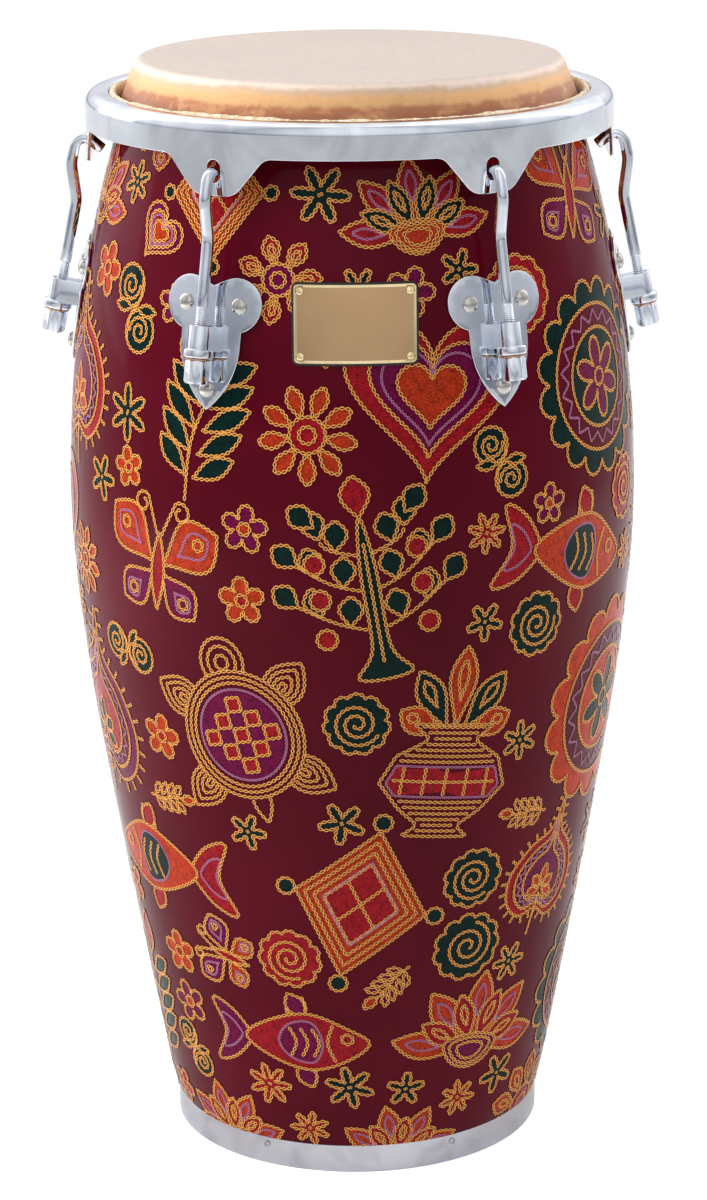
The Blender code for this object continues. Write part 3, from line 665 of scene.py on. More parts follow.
def inside(loop, spots):
    """Which of many spots are inside the loop."""
    x, y = np.asarray(loop, float).T
    next_x, next_y = np.roll(x, -1), np.roll(y, -1)
    level = spots[:, 1][:, None]
    spans = (y > level) != (next_y > level)
    cross = x + (level - y) * (next_x - x) / np.where(next_y == y, 1e-12, next_y - y)
    return np.count_nonzero(spans & (spots[:, 0][:, None] < cross), axis=1) % 2 == 1


def tube(path, radii, sides):
    """A round bar along points in the XZ plane. Each ring has its own radii, one or one for each side."""
    points = []
    turns = np.arange(sides) * 2 * math.pi / sides
    path = np.array(path)
    along = np.gradient(path, axis=0)
    along /= np.linalg.norm(along, axis=1)[:, None]
    level = np.array((0, 1, 0))
    for centre, forward, radius in zip(path, along, radii):
        across = np.cross(level, forward)
        ring = np.outer(np.cos(turns) * radius, across) + np.outer(np.sin(turns) * radius, level)
        points += list(centre + ring)
    return np.array(points), bands(len(path), sides) + end_faces(len(path), sides)


# Stitched figures, each drawn in its own plane and about 1 from its middle to its edge

CHAIN_STEP = 0.025
FOOTPRINT_STEP = 0.08


def turned_points(points, degrees):
    turn = math.radians(degrees)
    spin = np.array(((math.cos(turn), math.sin(turn)), (-math.sin(turn), math.cos(turn))))
    return np.asarray(points, float) @ spin


def ring(radius, centre=(0, 0), squash=1.0, count=36):
    turns = np.arange(count) * 2 * math.pi / count
    return np.stack(
        [centre[0] + radius * np.cos(turns), centre[1] + squash * radius * np.sin(turns)], axis=-1
    )


def petal(start, end, width, degrees, fullness=1.0, centre=(0, 0)):
    """A leaf between two distances from a centre. Fullness over 1 makes it broader near its tip."""
    share = np.linspace(0, 1, 13)
    side = width * np.sin(math.pi * share**fullness)
    along = start + (end - start) * share
    upper = np.stack([along, side], axis=-1)
    lower = np.stack([along, -side], axis=-1)[::-1][1:-1]
    return turned_points(np.concatenate([upper, lower])[::-1], degrees) + centre


def lobed(lobes, inner, outer, power=1.0, turn=0.0):
    turns = np.arange(lobes * 12) * 2 * math.pi / (lobes * 12)
    reach = inner + (outer - inner) * np.abs(np.cos(lobes * turns / 2)) ** power
    return turned_points(np.stack([reach * np.cos(turns), reach * np.sin(turns)], axis=-1), turn)


def straight(corners, count, closed=True):
    after = corners[1:] + corners[:1] if closed else corners[1:]
    steps = np.arange(count)[:, None] / count
    runs = [np.array(a) + (np.array(b) - np.array(a)) * steps for a, b in zip(corners, after)]
    return np.concatenate(runs if closed else runs + [np.array(corners[-1:])])


def smooth(knots, closed=True, count=7):
    """A rounded line through the knots."""
    knots = np.array(knots, float)
    if closed:
        knots = np.concatenate([knots[-1:], knots, knots[:2]])
    else:
        ends = 2 * knots[0] - knots[1], 2 * knots[-1] - knots[-2]
        knots = np.concatenate([[ends[0]], knots, [ends[1]]])
    share = np.arange(count)[:, None] / count
    runs = []
    for a, b, c, d in zip(knots, knots[1:], knots[2:], knots[3:]):
        bend = (2 * a - 5 * b + 4 * c - d) * share**2 + (3 * b - a - 3 * c + d) * share**3
        runs.append(0.5 * (2 * b + (c - a) * share + bend))
    return np.concatenate(runs if closed else runs + [knots[-2:-1]])


def curl(start, end, turns, turn=0.0, centre=(0, 0)):
    """A spiral between two distances from its centre."""
    share = np.linspace(0, 1, int(18 * abs(turns)) + 2)
    reach = start + (end - start) * share
    angle = 2 * math.pi * turns * share
    line = np.stack([reach * np.cos(angle), reach * np.sin(angle)], axis=-1)
    return turned_points(line, turn) + centre


def shrunk(outline, share, centre=(0, 0)):
    return (np.asarray(outline) - centre) * share + centre


def closed_up(points):
    return np.concatenate([points, points[:1]])


def distances(line):
    """How far along the line each of its points is."""
    return np.concatenate([[0], np.cumsum(np.hypot(*np.diff(line, axis=0).T))])


def points_at(line, along):
    """Points of a line at the distances given."""
    return np.stack([np.interp(along, distances(line), line[:, axis]) for axis in (0, 1)], axis=-1)


def resampled(points, closed, step):
    """The line with points a step apart."""
    line = closed_up(points) if closed else np.asarray(points, float)
    length = distances(line)[-1]
    fine = points_at(line, np.linspace(0, length, max(2, math.ceil(length / step)) + 1))
    return fine[:-1] if closed else fine


class Figure:
    """Coloured patches, and the chains sewn over them. A later patch covers the chains before it."""

    def __init__(self):
        self.patches = []
        self.chains = []

    def patch(self, colour, outline, thread_name="amber"):
        self.patches.append((colour, np.asarray(outline, float)))
        self.line(outline, thread_name, True)
        return outline

    def line(self, points, thread_name="amber", closed=False):
        self.chains.append((len(self.patches), thread_name, np.asarray(points, float), closed))

    def contours(self, outline, shares, centre=(0, 0), thread_name="amber"):
        for share in shares:
            self.line(shrunk(outline, share, centre), thread_name, True)

    def zigzag(self, outline, low, high, count, centre=(0, 0)):
        """A lilac thread that runs to and fro between two sizes of an outline."""
        line = closed_up(outline)
        steps = np.arange(2 * count)
        spots = points_at(line, steps * distances(line)[-1] / (2 * count))
        self.line(shrunk(spots, np.where(steps % 2, low, high)[:, None], centre), "lilac", True)

    def spikes(self, outline, count, reach):
        """Short stitches that stand out from an outline."""
        line = closed_up(outline)
        length = distances(line)[-1]
        middle = np.mean(outline, axis=0)
        for place in np.arange(count) * length / count:
            spot, ahead = points_at(line, np.array((place, place + length / (4 * count))) % length)
            out = np.array((ahead[1] - spot[1], spot[0] - ahead[0]))
            out /= max(np.hypot(*out), 1e-9)
            out *= 1 if np.dot(out, spot - middle) > 0 else -1
            self.line([spot + 0.2 * reach * out, spot + reach * out])

    def fit(self):
        """Centres the figure and scales it to reach 1 from its middle."""
        everything = np.concatenate([row[1] for row in self.patches] + [row[2] for row in self.chains])
        middle = (everything.min(axis=0) + everything.max(axis=0)) / 2
        scale = 1 / np.hypot(*(everything - middle).T).max()
        self.patches = [(colour, (outline - middle) * scale) for colour, outline in self.patches]
        self.chains = [
            (order, thread_name, (points - middle) * scale, closed)
            for order, thread_name, points, closed in self.chains
        ]

    def levels(self):
        """How many patches each patch lies on."""
        found = []
        for index, (_, outline) in enumerate(self.patches):
            under = [
                found[below] + 1
                for below, (_, lower) in enumerate(self.patches[:index])
                if inside(lower, outline).any() or inside(outline, lower).any()
            ]
            found.append(max(under, default=0))
        return found

    def shown_chains(self):
        """The chains without what later patches cover, as (thread, points, closed)."""
        shown = []
        for order, thread_name, points, closed in self.chains:
            fine = resampled(points, closed, CHAIN_STEP)
            clear = np.ones(len(fine), bool)
            for _, outline in self.patches[order:]:
                clear &= ~inside(outline, fine)
            if clear.all():
                shown.append((thread_name, fine, closed))
                continue
            if closed:
                fine, clear = (np.roll(values, -int(np.argmin(clear)), axis=0) for values in (fine, clear))
            marks = np.flatnonzero(np.diff(np.concatenate([[0], clear.astype(int), [0]])))
            shown += [
                (thread_name, fine[start:end], False)
                for start, end in zip(marks[::2], marks[1::2])
                if end - start > 3
            ]
        return shown


def rosette(figure, petals, leaf_colour, heart_colour, width=0.2):
    for index in range(petals):
        turn = 90 + 360 * index / petals
        figure.patch(leaf_colour, petal(0.3, 1, width, turn, 1.4))
        if width > 0.17:
            figure.line(petal(0.46, 0.82, width * 0.36, turn, 1.4), closed=True)
    figure.patch(heart_colour, ring(0.36))
    figure.line(ring(0.17, count=14), closed=True)


def blossom(figure, petals, colour, heart_colour):
    figure.patch(colour, lobed(petals, 0.42, 1, 0.7, 90))
    figure.patch(heart_colour, ring(0.26, count=14))


def thin_star(figure, arms, colour):
    figure.patch(colour, lobed(arms, 0.26, 1, 1.7, 90))
    figure.line([(-0.1, 0), (0.1, 0)])


def medallion(figure, scallops, outer_colour, inner_colour):
    """A scalloped disc of rings round a small flower."""
    figure.patch(outer_colour, lobed(scallops, 0.84, 1, 0.6))
    figure.patch("ground", ring(0.74))
    figure.zigzag(ring(1), 0.56, 0.68, 18)
    figure.patch(outer_colour, ring(0.5))
    figure.patch(inner_colour, lobed(6, 0.14, 0.42, 0.9, 90))
    figure.line(ring(0.09, count=10), closed=True)


def spiral_disc(figure, colour):
    figure.patch(colour, lobed(11, 0.86, 1, 0.6))
    figure.line(curl(0.08, 0.74, 2.4))


def scroll(figure, colour):
    """Two curls joined in an S, with a leaf on each side."""
    for turn in (0, 180):
        eye = turned_points([(0.5, 0)], turn)[0]
        figure.patch(colour, ring(0.44, eye, count=26))
        figure.line(curl(0.06, 0.32, 1.7, turn, eye))
        figure.patch(colour, petal(0.12, 0.68, 0.12, turn + 62))
    figure.line(smooth([(-0.5, 0.44), (-0.1, 0.2), (0.1, -0.2), (0.5, -0.44)], False))


def leaf_spray(figure, pairs, colour, tip_colour):
    stem = smooth([(0, -1), (0.06, -0.4), (-0.04, 0.2), (0, 0.5)], False)
    for index in range(pairs):
        height = -0.78 + 1.2 * index / pairs
        reach = 0.62 - 0.16 * abs(index - 0.4 * pairs) / pairs
        for side in (38, 142):
            figure.patch(colour, petal(0.05, reach, 0.1, side, 1.2, (0, height)))
    figure.patch(tip_colour, petal(0, 0.55, 0.15, 90, 0.9, (0, 0.42)))
    figure.line(stem)


def heart(figure, outer_colour, middle_colour, inner_colour):
    turn = np.arange(44) * 2 * math.pi / 44
    across = 16 * np.sin(turn) ** 3
    up = 13 * np.cos(turn) - 5 * np.cos(2 * turn) - 2 * np.cos(3 * turn) - np.cos(4 * turn)
    outline = np.stack([across, up], axis=-1)[::-1] / 17
    figure.patch(outer_colour, outline)
    middle = (0, -0.05)
    figure.patch(middle_colour, shrunk(outline, 0.72, middle))
    figure.line(shrunk(outline, 0.58, middle), "lilac", True)
    figure.patch(inner_colour, shrunk(outline, 0.4, middle))


def butterfly(figure, upper_colour, lower_colour, body_colour):
    for side in (1, -1):
        for low, high, width, angle, colour in (
            (0.06, 1.02, 0.33, 36, upper_colour), (0.06, 0.78, 0.24, -42, lower_colour)
        ):
            turn = angle if side > 0 else 180 - angle
            figure.patch(colour, petal(low, high, width, turn, 1.5))
            figure.line(petal(0.36, high * 0.86, width * 0.5, turn, 1.5), "lilac", True)
            figure.line(ring(0.07, turned_points([(high * 0.7, 0)], turn)[0], count=9), closed=True)
        feeler = curl(0.05, 0.14, 1.1 * side, 90, (0.3 * side, 0.74))
        figure.line(np.concatenate([[(0.03 * side, 0.4)], feeler[::-1]]))
    figure.patch(body_colour, petal(-0.55, 0.45, 0.1, 90))


def lotus_fan(figure, front_colour, back_colour, base_colour):
    base = np.array((0, -0.66))
    for turn in range(8, 180, 41):
        figure.patch(back_colour, petal(0.2, 1.5, 0.25, turn, 1.25, base))
        figure.line(petal(0.62, 1.26, 0.1, turn, 1.25, base), "lilac", True)
    for turn in (28, 69, 111, 152):
        figure.patch(front_colour, petal(0.2, 1.16, 0.2, turn, 1.15, base))
        figure.line(petal(0.5, 0.95, 0.06, turn, 1.15, base), closed=True)
    cup = smooth([(-0.52, -0.5), (0, -0.36), (0.52, -0.5), (0.36, -0.86), (0, -1.0), (-0.36, -0.86)])
    figure.patch(base_colour, cup)
    figure.contours(cup, (0.78, 0.5), (0, -0.68))


def pointed_leaf(figure, edge_colour, field_colour, vein_colour):
    """A broad leaf with a long tip, nested rows of chain and a combed border."""
    outline = smooth([
        (0, 1.05), (0.12, 0.62), (0.5, 0.34), (0.74, -0.08), (0.66, -0.5), (0.34, -0.72), (0, -0.6),
        (-0.34, -0.72), (-0.66, -0.5), (-0.74, -0.08), (-0.5, 0.34), (-0.12, 0.62),
    ])[::-1]
    middle = (0.0, -0.14)
    figure.patch(edge_colour, outline)
    figure.spikes(outline, 34, 0.13)
    figure.patch("ground", shrunk(outline, 0.80, middle))
    figure.zigzag(outline, 0.64, 0.74, 26, middle)
    figure.patch(field_colour, shrunk(outline, 0.58, middle))
    for turn in (90, 38, 142, -14, 194):
        figure.patch(vein_colour, petal(0.04, 0.38 if turn == 90 else 0.3, 0.075, turn, 1.2, (0, -0.3)))
    figure.line([(0, -0.36), (0, -1.02)])


def vase(figure, body_colour, flower_colour, leaf_colour):
    """A pot of close rows of chain with a netted belt, and flowers that stand in it."""
    for turn, reach, colour in (
        (90, 1.0, flower_colour), (58, 0.86, leaf_colour), (122, 0.86, leaf_colour),
        (28, 0.66, flower_colour), (152, 0.66, flower_colour),
    ):
        figure.patch(colour, petal(0.12, reach, 0.14, turn, 1.5, (0, 0.02)))
        figure.line(petal(0.42, reach * 0.86, 0.05, turn, 1.5, (0, 0.02)), closed=True)
    heights = np.linspace(0.2, -1.0, 25)
    knots = (
        (-1.0, 0.34), (-0.88, 0.2), (-0.72, 0.42), (-0.45, 0.66), (-0.15, 0.54), (0.04, 0.24), (0.2, 0.42),
    )
    widths = np.interp(heights, *zip(*knots))
    side = smooth(list(zip(widths, heights)), False, 2)
    outline = np.concatenate([side, side[::-1] * (-1, 1)])
    figure.patch("ground", outline)
    for height in np.arange(-0.94, 0.18, 0.062):
        width = np.interp(height, side[::-1, 1], side[::-1, 0]) - 0.055
        if not -0.62 < height < -0.2:
            figure.line([(-width, height), (width, height)])
    belt = side[(side[:, 1] > -0.58) & (side[:, 1] < -0.24)] * (0.9, 1)
    loop = np.concatenate([belt, belt[::-1] * (-1, 1)])
    figure.patch(body_colour, loop, "lilac")
    for across in np.linspace(-0.44, 0.44, 5):
        figure.line([(across, -0.56), (across, -0.26)])
    figure.line([(-0.54, -0.41), (0.54, -0.41)])


def turtle(figure, panel_colour, check_colour):
    """Seen from above: close rows of chain on its limbs and shell, and a chequered middle."""
    for turn in (38, 142, 222, 318):
        limb = figure.patch("ground", petal(0.3, 1.12, 0.21, turn, 1.35))
        figure.contours(limb, (0.72, 0.44, 0.18), turned_points([(0.76, 0)], turn)[0])
    head = figure.patch("ground", ring(0.25, (0, 0.82), 1.1, 20))
    figure.contours(head, (0.66, 0.3), (0, 0.82))
    figure.patch("ground", petal(0.5, 1.02, 0.1, 270))
    shell = ring(0.68, squash=1.06)
    figure.patch("ground", shell)
    figure.contours(shell, (0.91, 0.82))
    figure.patch(panel_colour, shrunk(shell, 0.72), "lilac")
    size = 0.155
    for column in range(-2, 3):
        for row in range(-2, 3):
            if abs(column) + abs(row) < 4 and (column + row) % 2 == 0:
                corner = np.array((column, row)) * size * 1.12
                tile = straight([(-0.5, -0.5), (0.5, -0.5), (0.5, 0.5), (-0.5, 0.5)], 2)
                figure.patch(check_colour, tile * size + corner)


def fish(figure, body_colour, fin_colour, belt_colour):
    tail = smooth([
        (-0.5, 0.07), (-0.74, 0.34), (-1.02, 0.42), (-0.86, 0), (-1.02, -0.42), (-0.74, -0.34), (-0.5, -0.07)
    ])
    figure.patch(fin_colour, tail)
    figure.contours(tail, (0.55,), (-0.78, 0), "lilac")
    for turn, start in ((62, (0.02, 0.26)), (118, (0.24, 0.3)), (-68, (0.1, -0.24))):
        figure.patch(fin_colour, petal(0, 0.42, 0.12, turn, 1.3, start))
    body = smooth([
        (-0.56, 0), (-0.2, 0.28), (0.28, 0.4), (0.74, 0.2), (0.98, 0), (0.74, -0.22), (0.28, -0.38),
        (-0.2, -0.26),
    ])
    figure.patch(body_colour, body)
    belt = smooth([(-0.12, 0), (0.02, 0.24), (0.3, 0.28), (0.42, 0), (0.3, -0.27), (0.02, -0.22)])
    figure.patch(belt_colour, belt, "lilac")
    for place in (0.02, 0.16, 0.3):
        figure.line(smooth([(place, 0.2), (place + 0.08, 0), (place, -0.2)], False, 4))
    figure.line(smooth([(0.56, 0.26), (0.48, 0), (0.56, -0.26)], False, 4))
    figure.line(ring(0.07, (0.72, 0.06), count=9), closed=True)


def tree(figure, leaf_colour, fruit_colour):
    for level, reach in ((-0.4, 0.72), (0.0, 0.66), (0.36, 0.44)):
        for side in (1, -1):
            bough = smooth([(0, level - 0.14), (0.36 * side, level), (reach * side, level + 0.22)], False)
            figure.line(bough)
            for share, angle in ((0.42, 100), (0.72, 78), (1.0, 46)):
                spot = bough[int(share * (len(bough) - 1))]
                turn = angle if side > 0 else 180 - angle
                figure.patch(leaf_colour, petal(0.0, 0.31, 0.115, turn, 1.2, spot))
            figure.patch(fruit_colour, ring(0.1, (0.5 * side, level - 0.14), count=14))
    trunk = [(-0.26, -1), (-0.09, -0.7), (-0.075, 0.1), (0, 0.62), (0.075, 0.1), (0.09, -0.7), (0.26, -1)]
    figure.patch(leaf_colour, smooth(trunk))
    figure.line([(0, -0.86), (0, 0.36)])
    figure.patch(fruit_colour, petal(0, 0.42, 0.14, 90, 1.2, (0, 0.6)))


def lozenge(figure, edge_colour, panel_colour, dot_colour):
    """A quilted diamond of close chains with a netted middle."""
    outline = straight([(0, 1), (-0.8, 0), (0, -1), (0.8, 0)], 8)
    figure.patch(edge_colour, outline)
    figure.contours(outline, (0.86, 0.72))
    figure.patch(panel_colour, shrunk(outline, 0.58), "lilac")
    net = shrunk(outline, 0.56)
    for share in (0, 4, 8):
        for turn in (0, 8):
            figure.line([net[(turn + share) % 32], net[(turn + 24 - share) % 32]])
    for corner in ((0, 1.12), (0.92, 0), (0, -1.12), (-0.92, 0)):
        figure.patch(dot_colour, ring(0.11, corner, count=12))


# Kinds of figure, each with the details that its function takes
LARGE_FIGURES = {
    "turtle": (turtle, "purple", "red"),
    "leaf_purple": (pointed_leaf, "purple", "red", "green"),
    "leaf_red": (pointed_leaf, "red", "purple", "orange"),
    "disc_green": (medallion, 16, "green", "purple"),
    "disc_orange": (medallion, 14, "orange", "green"),
    "tree": (tree, "green", "red"),
    "vase": (vase, "red", "orange", "green"),
    "vase_purple": (vase, "purple", "red", "orange"),
    "lotus": (lotus_fan, "red", "orange", "purple"),
    "lotus_green": (lotus_fan, "green", "red", "orange"),
    "butterfly": (butterfly, "orange", "purple", "red"),
    "butterfly_green": (butterfly, "green", "red", "purple"),
    "fish": (fish, "red", "purple", "purple"),
    "fish_orange": (fish, "orange", "red", "green"),
    "heart": (heart, "red", "purple", "orange"),
    "lozenge": (lozenge, "orange", "red", "green"),
    "spray": (leaf_spray, 5, "green", "red"),
    "rosette": (rosette, 9, "orange", "red"),
}
MIDDLE_FIGURES = (
    (rosette, 9, "orange", "red", 0.16), (scroll, "green"), (rosette, 7, "red", "purple"),
    (spiral_disc, "red"), (butterfly, "purple", "orange", "red"), (leaf_spray, 4, "purple", "orange"),
    (spiral_disc, "green"), (heart, "purple", "red", "orange"),
)
SMALL_FIGURES = (
    (blossom, 5, "orange", "red"), (thin_star, 6, "green"), (blossom, 5, "purple", "orange"),
    (thin_star, 7, "red"), (thin_star, 5, "green"),
)
# Rows of large figures: height, size from middle to edge, degrees, and the kinds from the front round
ROWS = (
    (0.690, 0.052, 14, "lotus_green butterfly disc_orange leaf_purple tree fish lotus lozenge"),
    (0.562, 0.066, -31, "spray heart disc_green lozenge tree butterfly_green vase leaf_red"),
    (0.448, 0.071, 2, "tree fish_orange leaf_purple lotus disc_green turtle heart butterfly"),
    (0.332, 0.073, -24, "turtle vase disc_orange spray leaf_red fish lozenge leaf_purple"),
    (0.218, 0.070, 1, "lozenge leaf_red lotus_green butterfly vase_purple turtle fish_orange"),
    (0.110, 0.063, -20, "fish lotus disc_green lozenge heart vase spray"),
    (0.026, 0.047, 8, "lotus rosette butterfly lotus_green rosette disc_orange lotus"),
)

# How far large figures stray from their places: degrees round the shell, metres up it, degrees turned
STRAY_ROUND = 2
STRAY_RISE = 0.006
STRAY_TURN = 14

# Large figures that come this close to each other shrink by this factor
LEAST_GAP = 0.0048
SHRINK = 0.94
FITTINGS = 5
LARGEST_REACH = 0.16

# Figures that fill the gaps: their kinds, sizes, distance from the others, and how many spots are tried
FILLERS = (
    (MIDDLE_FIGURES, (0.034, 0.030), 0.0022, 2500),
    (MIDDLE_FIGURES, (0.026, 0.0225), 0.0022, 3500),
    (SMALL_FIGURES, (0.0195, 0.017), 0.003, 4000),
    (SMALL_FIGURES, (0.0145,), 0.003, 5000),
)


# The printed shell

class Cloth:
    """The shell's side laid flat: metres round it from the front, and metres up its side from the ring."""

    def __init__(self):
        self.heights = np.linspace(RING_HEIGHT, EDGE_BASE, 700)
        self.radii = np.array([shell_radius(height) for height in self.heights])
        steps = np.hypot(np.diff(self.heights), np.diff(self.radii))
        self.rises = np.concatenate([[0], np.cumsum(steps)])
        self.tilts = np.arctan(-np.gradient(self.radii, self.heights))

    def rise_at(self, height):
        return float(np.interp(height, self.heights, self.rises))

    def radius_at(self, rise):
        return float(np.interp(rise, self.rises, self.radii))

    def holds(self, rise, flat):
        """Which flat points fall between the bottom ring and the shell's edge."""
        place = rise + flat[:, 1]
        return (place > 0) & (place < self.rises[-1])

    def wrapped(self, degrees, rise, flat, lift):
        """Flat points about a spot on the shell, as points and normals in the frame."""
        place = np.clip(rise + flat[:, 1], 0, self.rises[-1])
        height = np.interp(place, self.rises, self.heights)
        radius = np.interp(place, self.rises, self.radii)
        tilt = np.interp(place, self.rises, self.tilts)
        turn = FRONT + math.radians(degrees) + flat[:, 0] / radius
        normals = about_axis(np.cos(tilt), turn, np.sin(tilt))
        return about_axis(radius, turn, height) + normals * lift, normals


class Layer:
    """Points, faces, normals and map coordinates that gather into one piece."""

    def __init__(self):
        self.points, self.normals, self.uv, self.faces = [], [], [], []
        self.count = 0

    def add(self, points, normals, uv, faces):
        self.points.append(points)
        self.normals.append(normals)
        self.uv.append(uv)
        self.faces += [tuple(int(i) + self.count for i in face) for face in faces]
        self.count += len(points)

    def build(self, name, material):
        return add_piece(
            name, np.concatenate(self.points), self.faces, material, BODY_OF_SHELL,
            np.concatenate(self.normals), np.concatenate(self.uv),
        )


SAMPLES_PER_STITCH = 4
PATCH_STEP = 0.006
FILL_LIFT = 0.00007
FILL_STEP = 0.00006
# The next lift is that of the painted shadows in the stitches' hollows.
SHADOW_LIFT = 0.00046
THREAD_LIFT = 0.00050
THREAD_OVERLAP = 0.00004
LILAC_FINENESS = 0.72


def stitched_line(points, closed, settings, fineness):
    """Where the two threads of a chain run: middles, left normals, swing and distance along."""
    line = closed_up(points) if closed else np.asarray(points)
    length = distances(line)[-1]
    stitches = max(2, round(length / (settings.pitch * fineness)))
    along = np.linspace(0, length, stitches * SAMPLES_PER_STITCH + 1)
    middles = points_at(line, along)
    forward = np.gradient(middles, axis=0)
    if closed:
        forward[0] = forward[-1] = forward[0] + forward[-1]
    forward /= np.maximum(np.linalg.norm(forward, axis=1), 1e-9)[:, None]
    left = np.stack([-forward[:, 1], forward[:, 0]], axis=-1)
    phase = math.pi * np.arange(len(along)) / SAMPLES_PER_STITCH
    reach = 0.5 * (settings.chain_width - settings.thread_width) * fineness
    return middles, left, reach * np.abs(np.sin(phase)), along


def sew_chain(thread_layer, painted_shadow_layer, cloth, spot, chain, settings, fineness):
    """Adds one chain: two threads that cross between stitches, and a painted shadow in the hollow of each
    stitch, a sheet of darkened ground colour.
    """
    degrees, rise = spot
    points, closed = chain
    middles, left, swing, along = stitched_line(points, closed, settings, fineness)
    shown = cloth.holds(rise, middles)
    half = settings.thread_width / 2 * fineness
    rows = len(middles)
    for order, side in enumerate((1, -1)):
        low = middles + left * (side * swing - half)[:, None]
        high = middles + left * (side * swing + half)[:, None]
        flat = np.concatenate([low, high])
        lift = THREAD_LIFT + order * THREAD_OVERLAP
        where, normals = cloth.wrapped(degrees, rise, flat, lift)
        uv = np.stack([np.tile(along, 2), np.repeat((0.0, 1.0), rows)], axis=-1)
        faces = [
            (k, k + 1, rows + k + 1, rows + k) for k in range(rows - 1) if shown[k] and shown[k + 1]
        ]
        thread_layer.add(where, normals, uv, faces)
    # The painted shadow: a sheet between the two threads, darkened to stand in for the shade in each stitch's
    # hollow.
    flat = np.concatenate([middles - left * swing[:, None], middles + left * swing[:, None]])
    where, normals = cloth.wrapped(degrees, rise, flat, SHADOW_LIFT)
    step = SAMPLES_PER_STITCH
    faces = [
        (k, k + 1, k + 2, k + 3, k + 4, rows + k + 3, rows + k + 2, rows + k + 1)
        for k in range(0, rows - step, step)
        if shown[k] and shown[k + step]
    ]
    painted_shadow_layer.add(where, normals, flat, faces)


def sew_patch(layer, cloth, spot, outline, level, degrees_turned):
    """Adds one filled patch. Its map follows the figure's own turn, as its rows of stitches do."""
    degrees, rise = spot
    flat, faces = filled([outline], PATCH_STEP)
    if not cloth.holds(rise, outline).any():
        return
    where, normals = cloth.wrapped(degrees, rise, flat, FILL_LIFT + level * FILL_STEP)
    layer.add(where, normals, turned_points(flat, -degrees_turned), faces)


def footprint(figure):
    """Spots spread over a figure, in its own plane."""
    spots = [resampled(points, closed, FOOTPRINT_STEP) for _, _, points, closed in figure.chains]
    for _, outline in figure.patches:
        spots += [shrunk(outline, share, outline.mean(axis=0))[::2] for share in (0.25, 0.55, 0.8)]
    return np.concatenate(spots)


class Layout:
    """Where every figure goes: (figure, degrees, rise, size, turn, mirrored). It keeps what they cover."""

    def __init__(self, cloth, seed):
        self.cloth = cloth
        self.chance = random.Random(seed)
        self.figures = []
        self.turns = np.empty(0)
        self.rises = np.empty(0)
        for height, size, offset, names in ROWS:
            names = names.split()
            for index, name in enumerate(names):
                degrees = offset + 360 * index / len(names) + self.either_way(STRAY_ROUND)
                rise = cloth.rise_at(height) + self.either_way(STRAY_RISE)
                turn = self.either_way(STRAY_TURN)
                flipped = self.chance.random() < 0.5
                self.lay(LARGE_FIGURES[name], degrees, rise, size, turn, flipped, FITTINGS)
        for row in FILLERS:
            self.fill(*row)

    def either_way(self, most):
        return self.chance.uniform(-most, most)

    def lay(self, kind, degrees, rise, size, turn, flipped=False, fittings=0):
        """Lays a figure, a little smaller at each fitting for as long as it touches others."""
        draw, *details = kind
        figure = Figure()
        draw(figure, *details)
        figure.fit()
        shape = turned_points(footprint(figure) * (-1 if flipped else 1, 1), turn)
        radius = self.cloth.radius_at(rise)
        while fittings and self.touches(math.radians(degrees), rise, shape * size, radius):
            fittings -= 1
            size *= SHRINK
        self.figures.append((figure, degrees, rise, size, turn, flipped))
        self.turns = np.concatenate([self.turns, math.radians(degrees) + shape[:, 0] * size / radius])
        self.rises = np.concatenate([self.rises, rise + shape[:, 1] * size])

    def touches(self, angle, rise, flat, radius):
        """True if a figure's footprint comes too close to what is laid."""
        near = np.abs(self.rises - rise) < LARGEST_REACH
        if not near.any():
            return False
        across = (angle + flat[:, :1] / radius - self.turns[near] + math.pi) % (2 * math.pi) - math.pi
        along = rise + flat[:, 1:] - self.rises[near]
        return np.hypot(across * radius, along).min() < LEAST_GAP

    def clear(self, degrees, rise, reach):
        """True if nothing laid so far comes within a distance of a spot."""
        apart = (self.turns - math.radians(degrees) + math.pi) % (2 * math.pi) - math.pi
        return np.hypot(apart * self.cloth.radius_at(rise), self.rises - rise).min() > reach

    def fill(self, kinds, sizes, margin, tries):
        """Puts figures wherever they fit, taking each kind in its turn."""
        found = 0
        for _ in range(tries):
            size = self.chance.choice(sizes)
            degrees = self.either_way(180)
            rise = self.chance.uniform(0.01, self.cloth.rises[-1] - 0.02)
            if self.clear(degrees, rise, size + margin):
                self.lay(kinds[found % len(kinds)], degrees, rise, size, self.either_way(180))
                found += 1


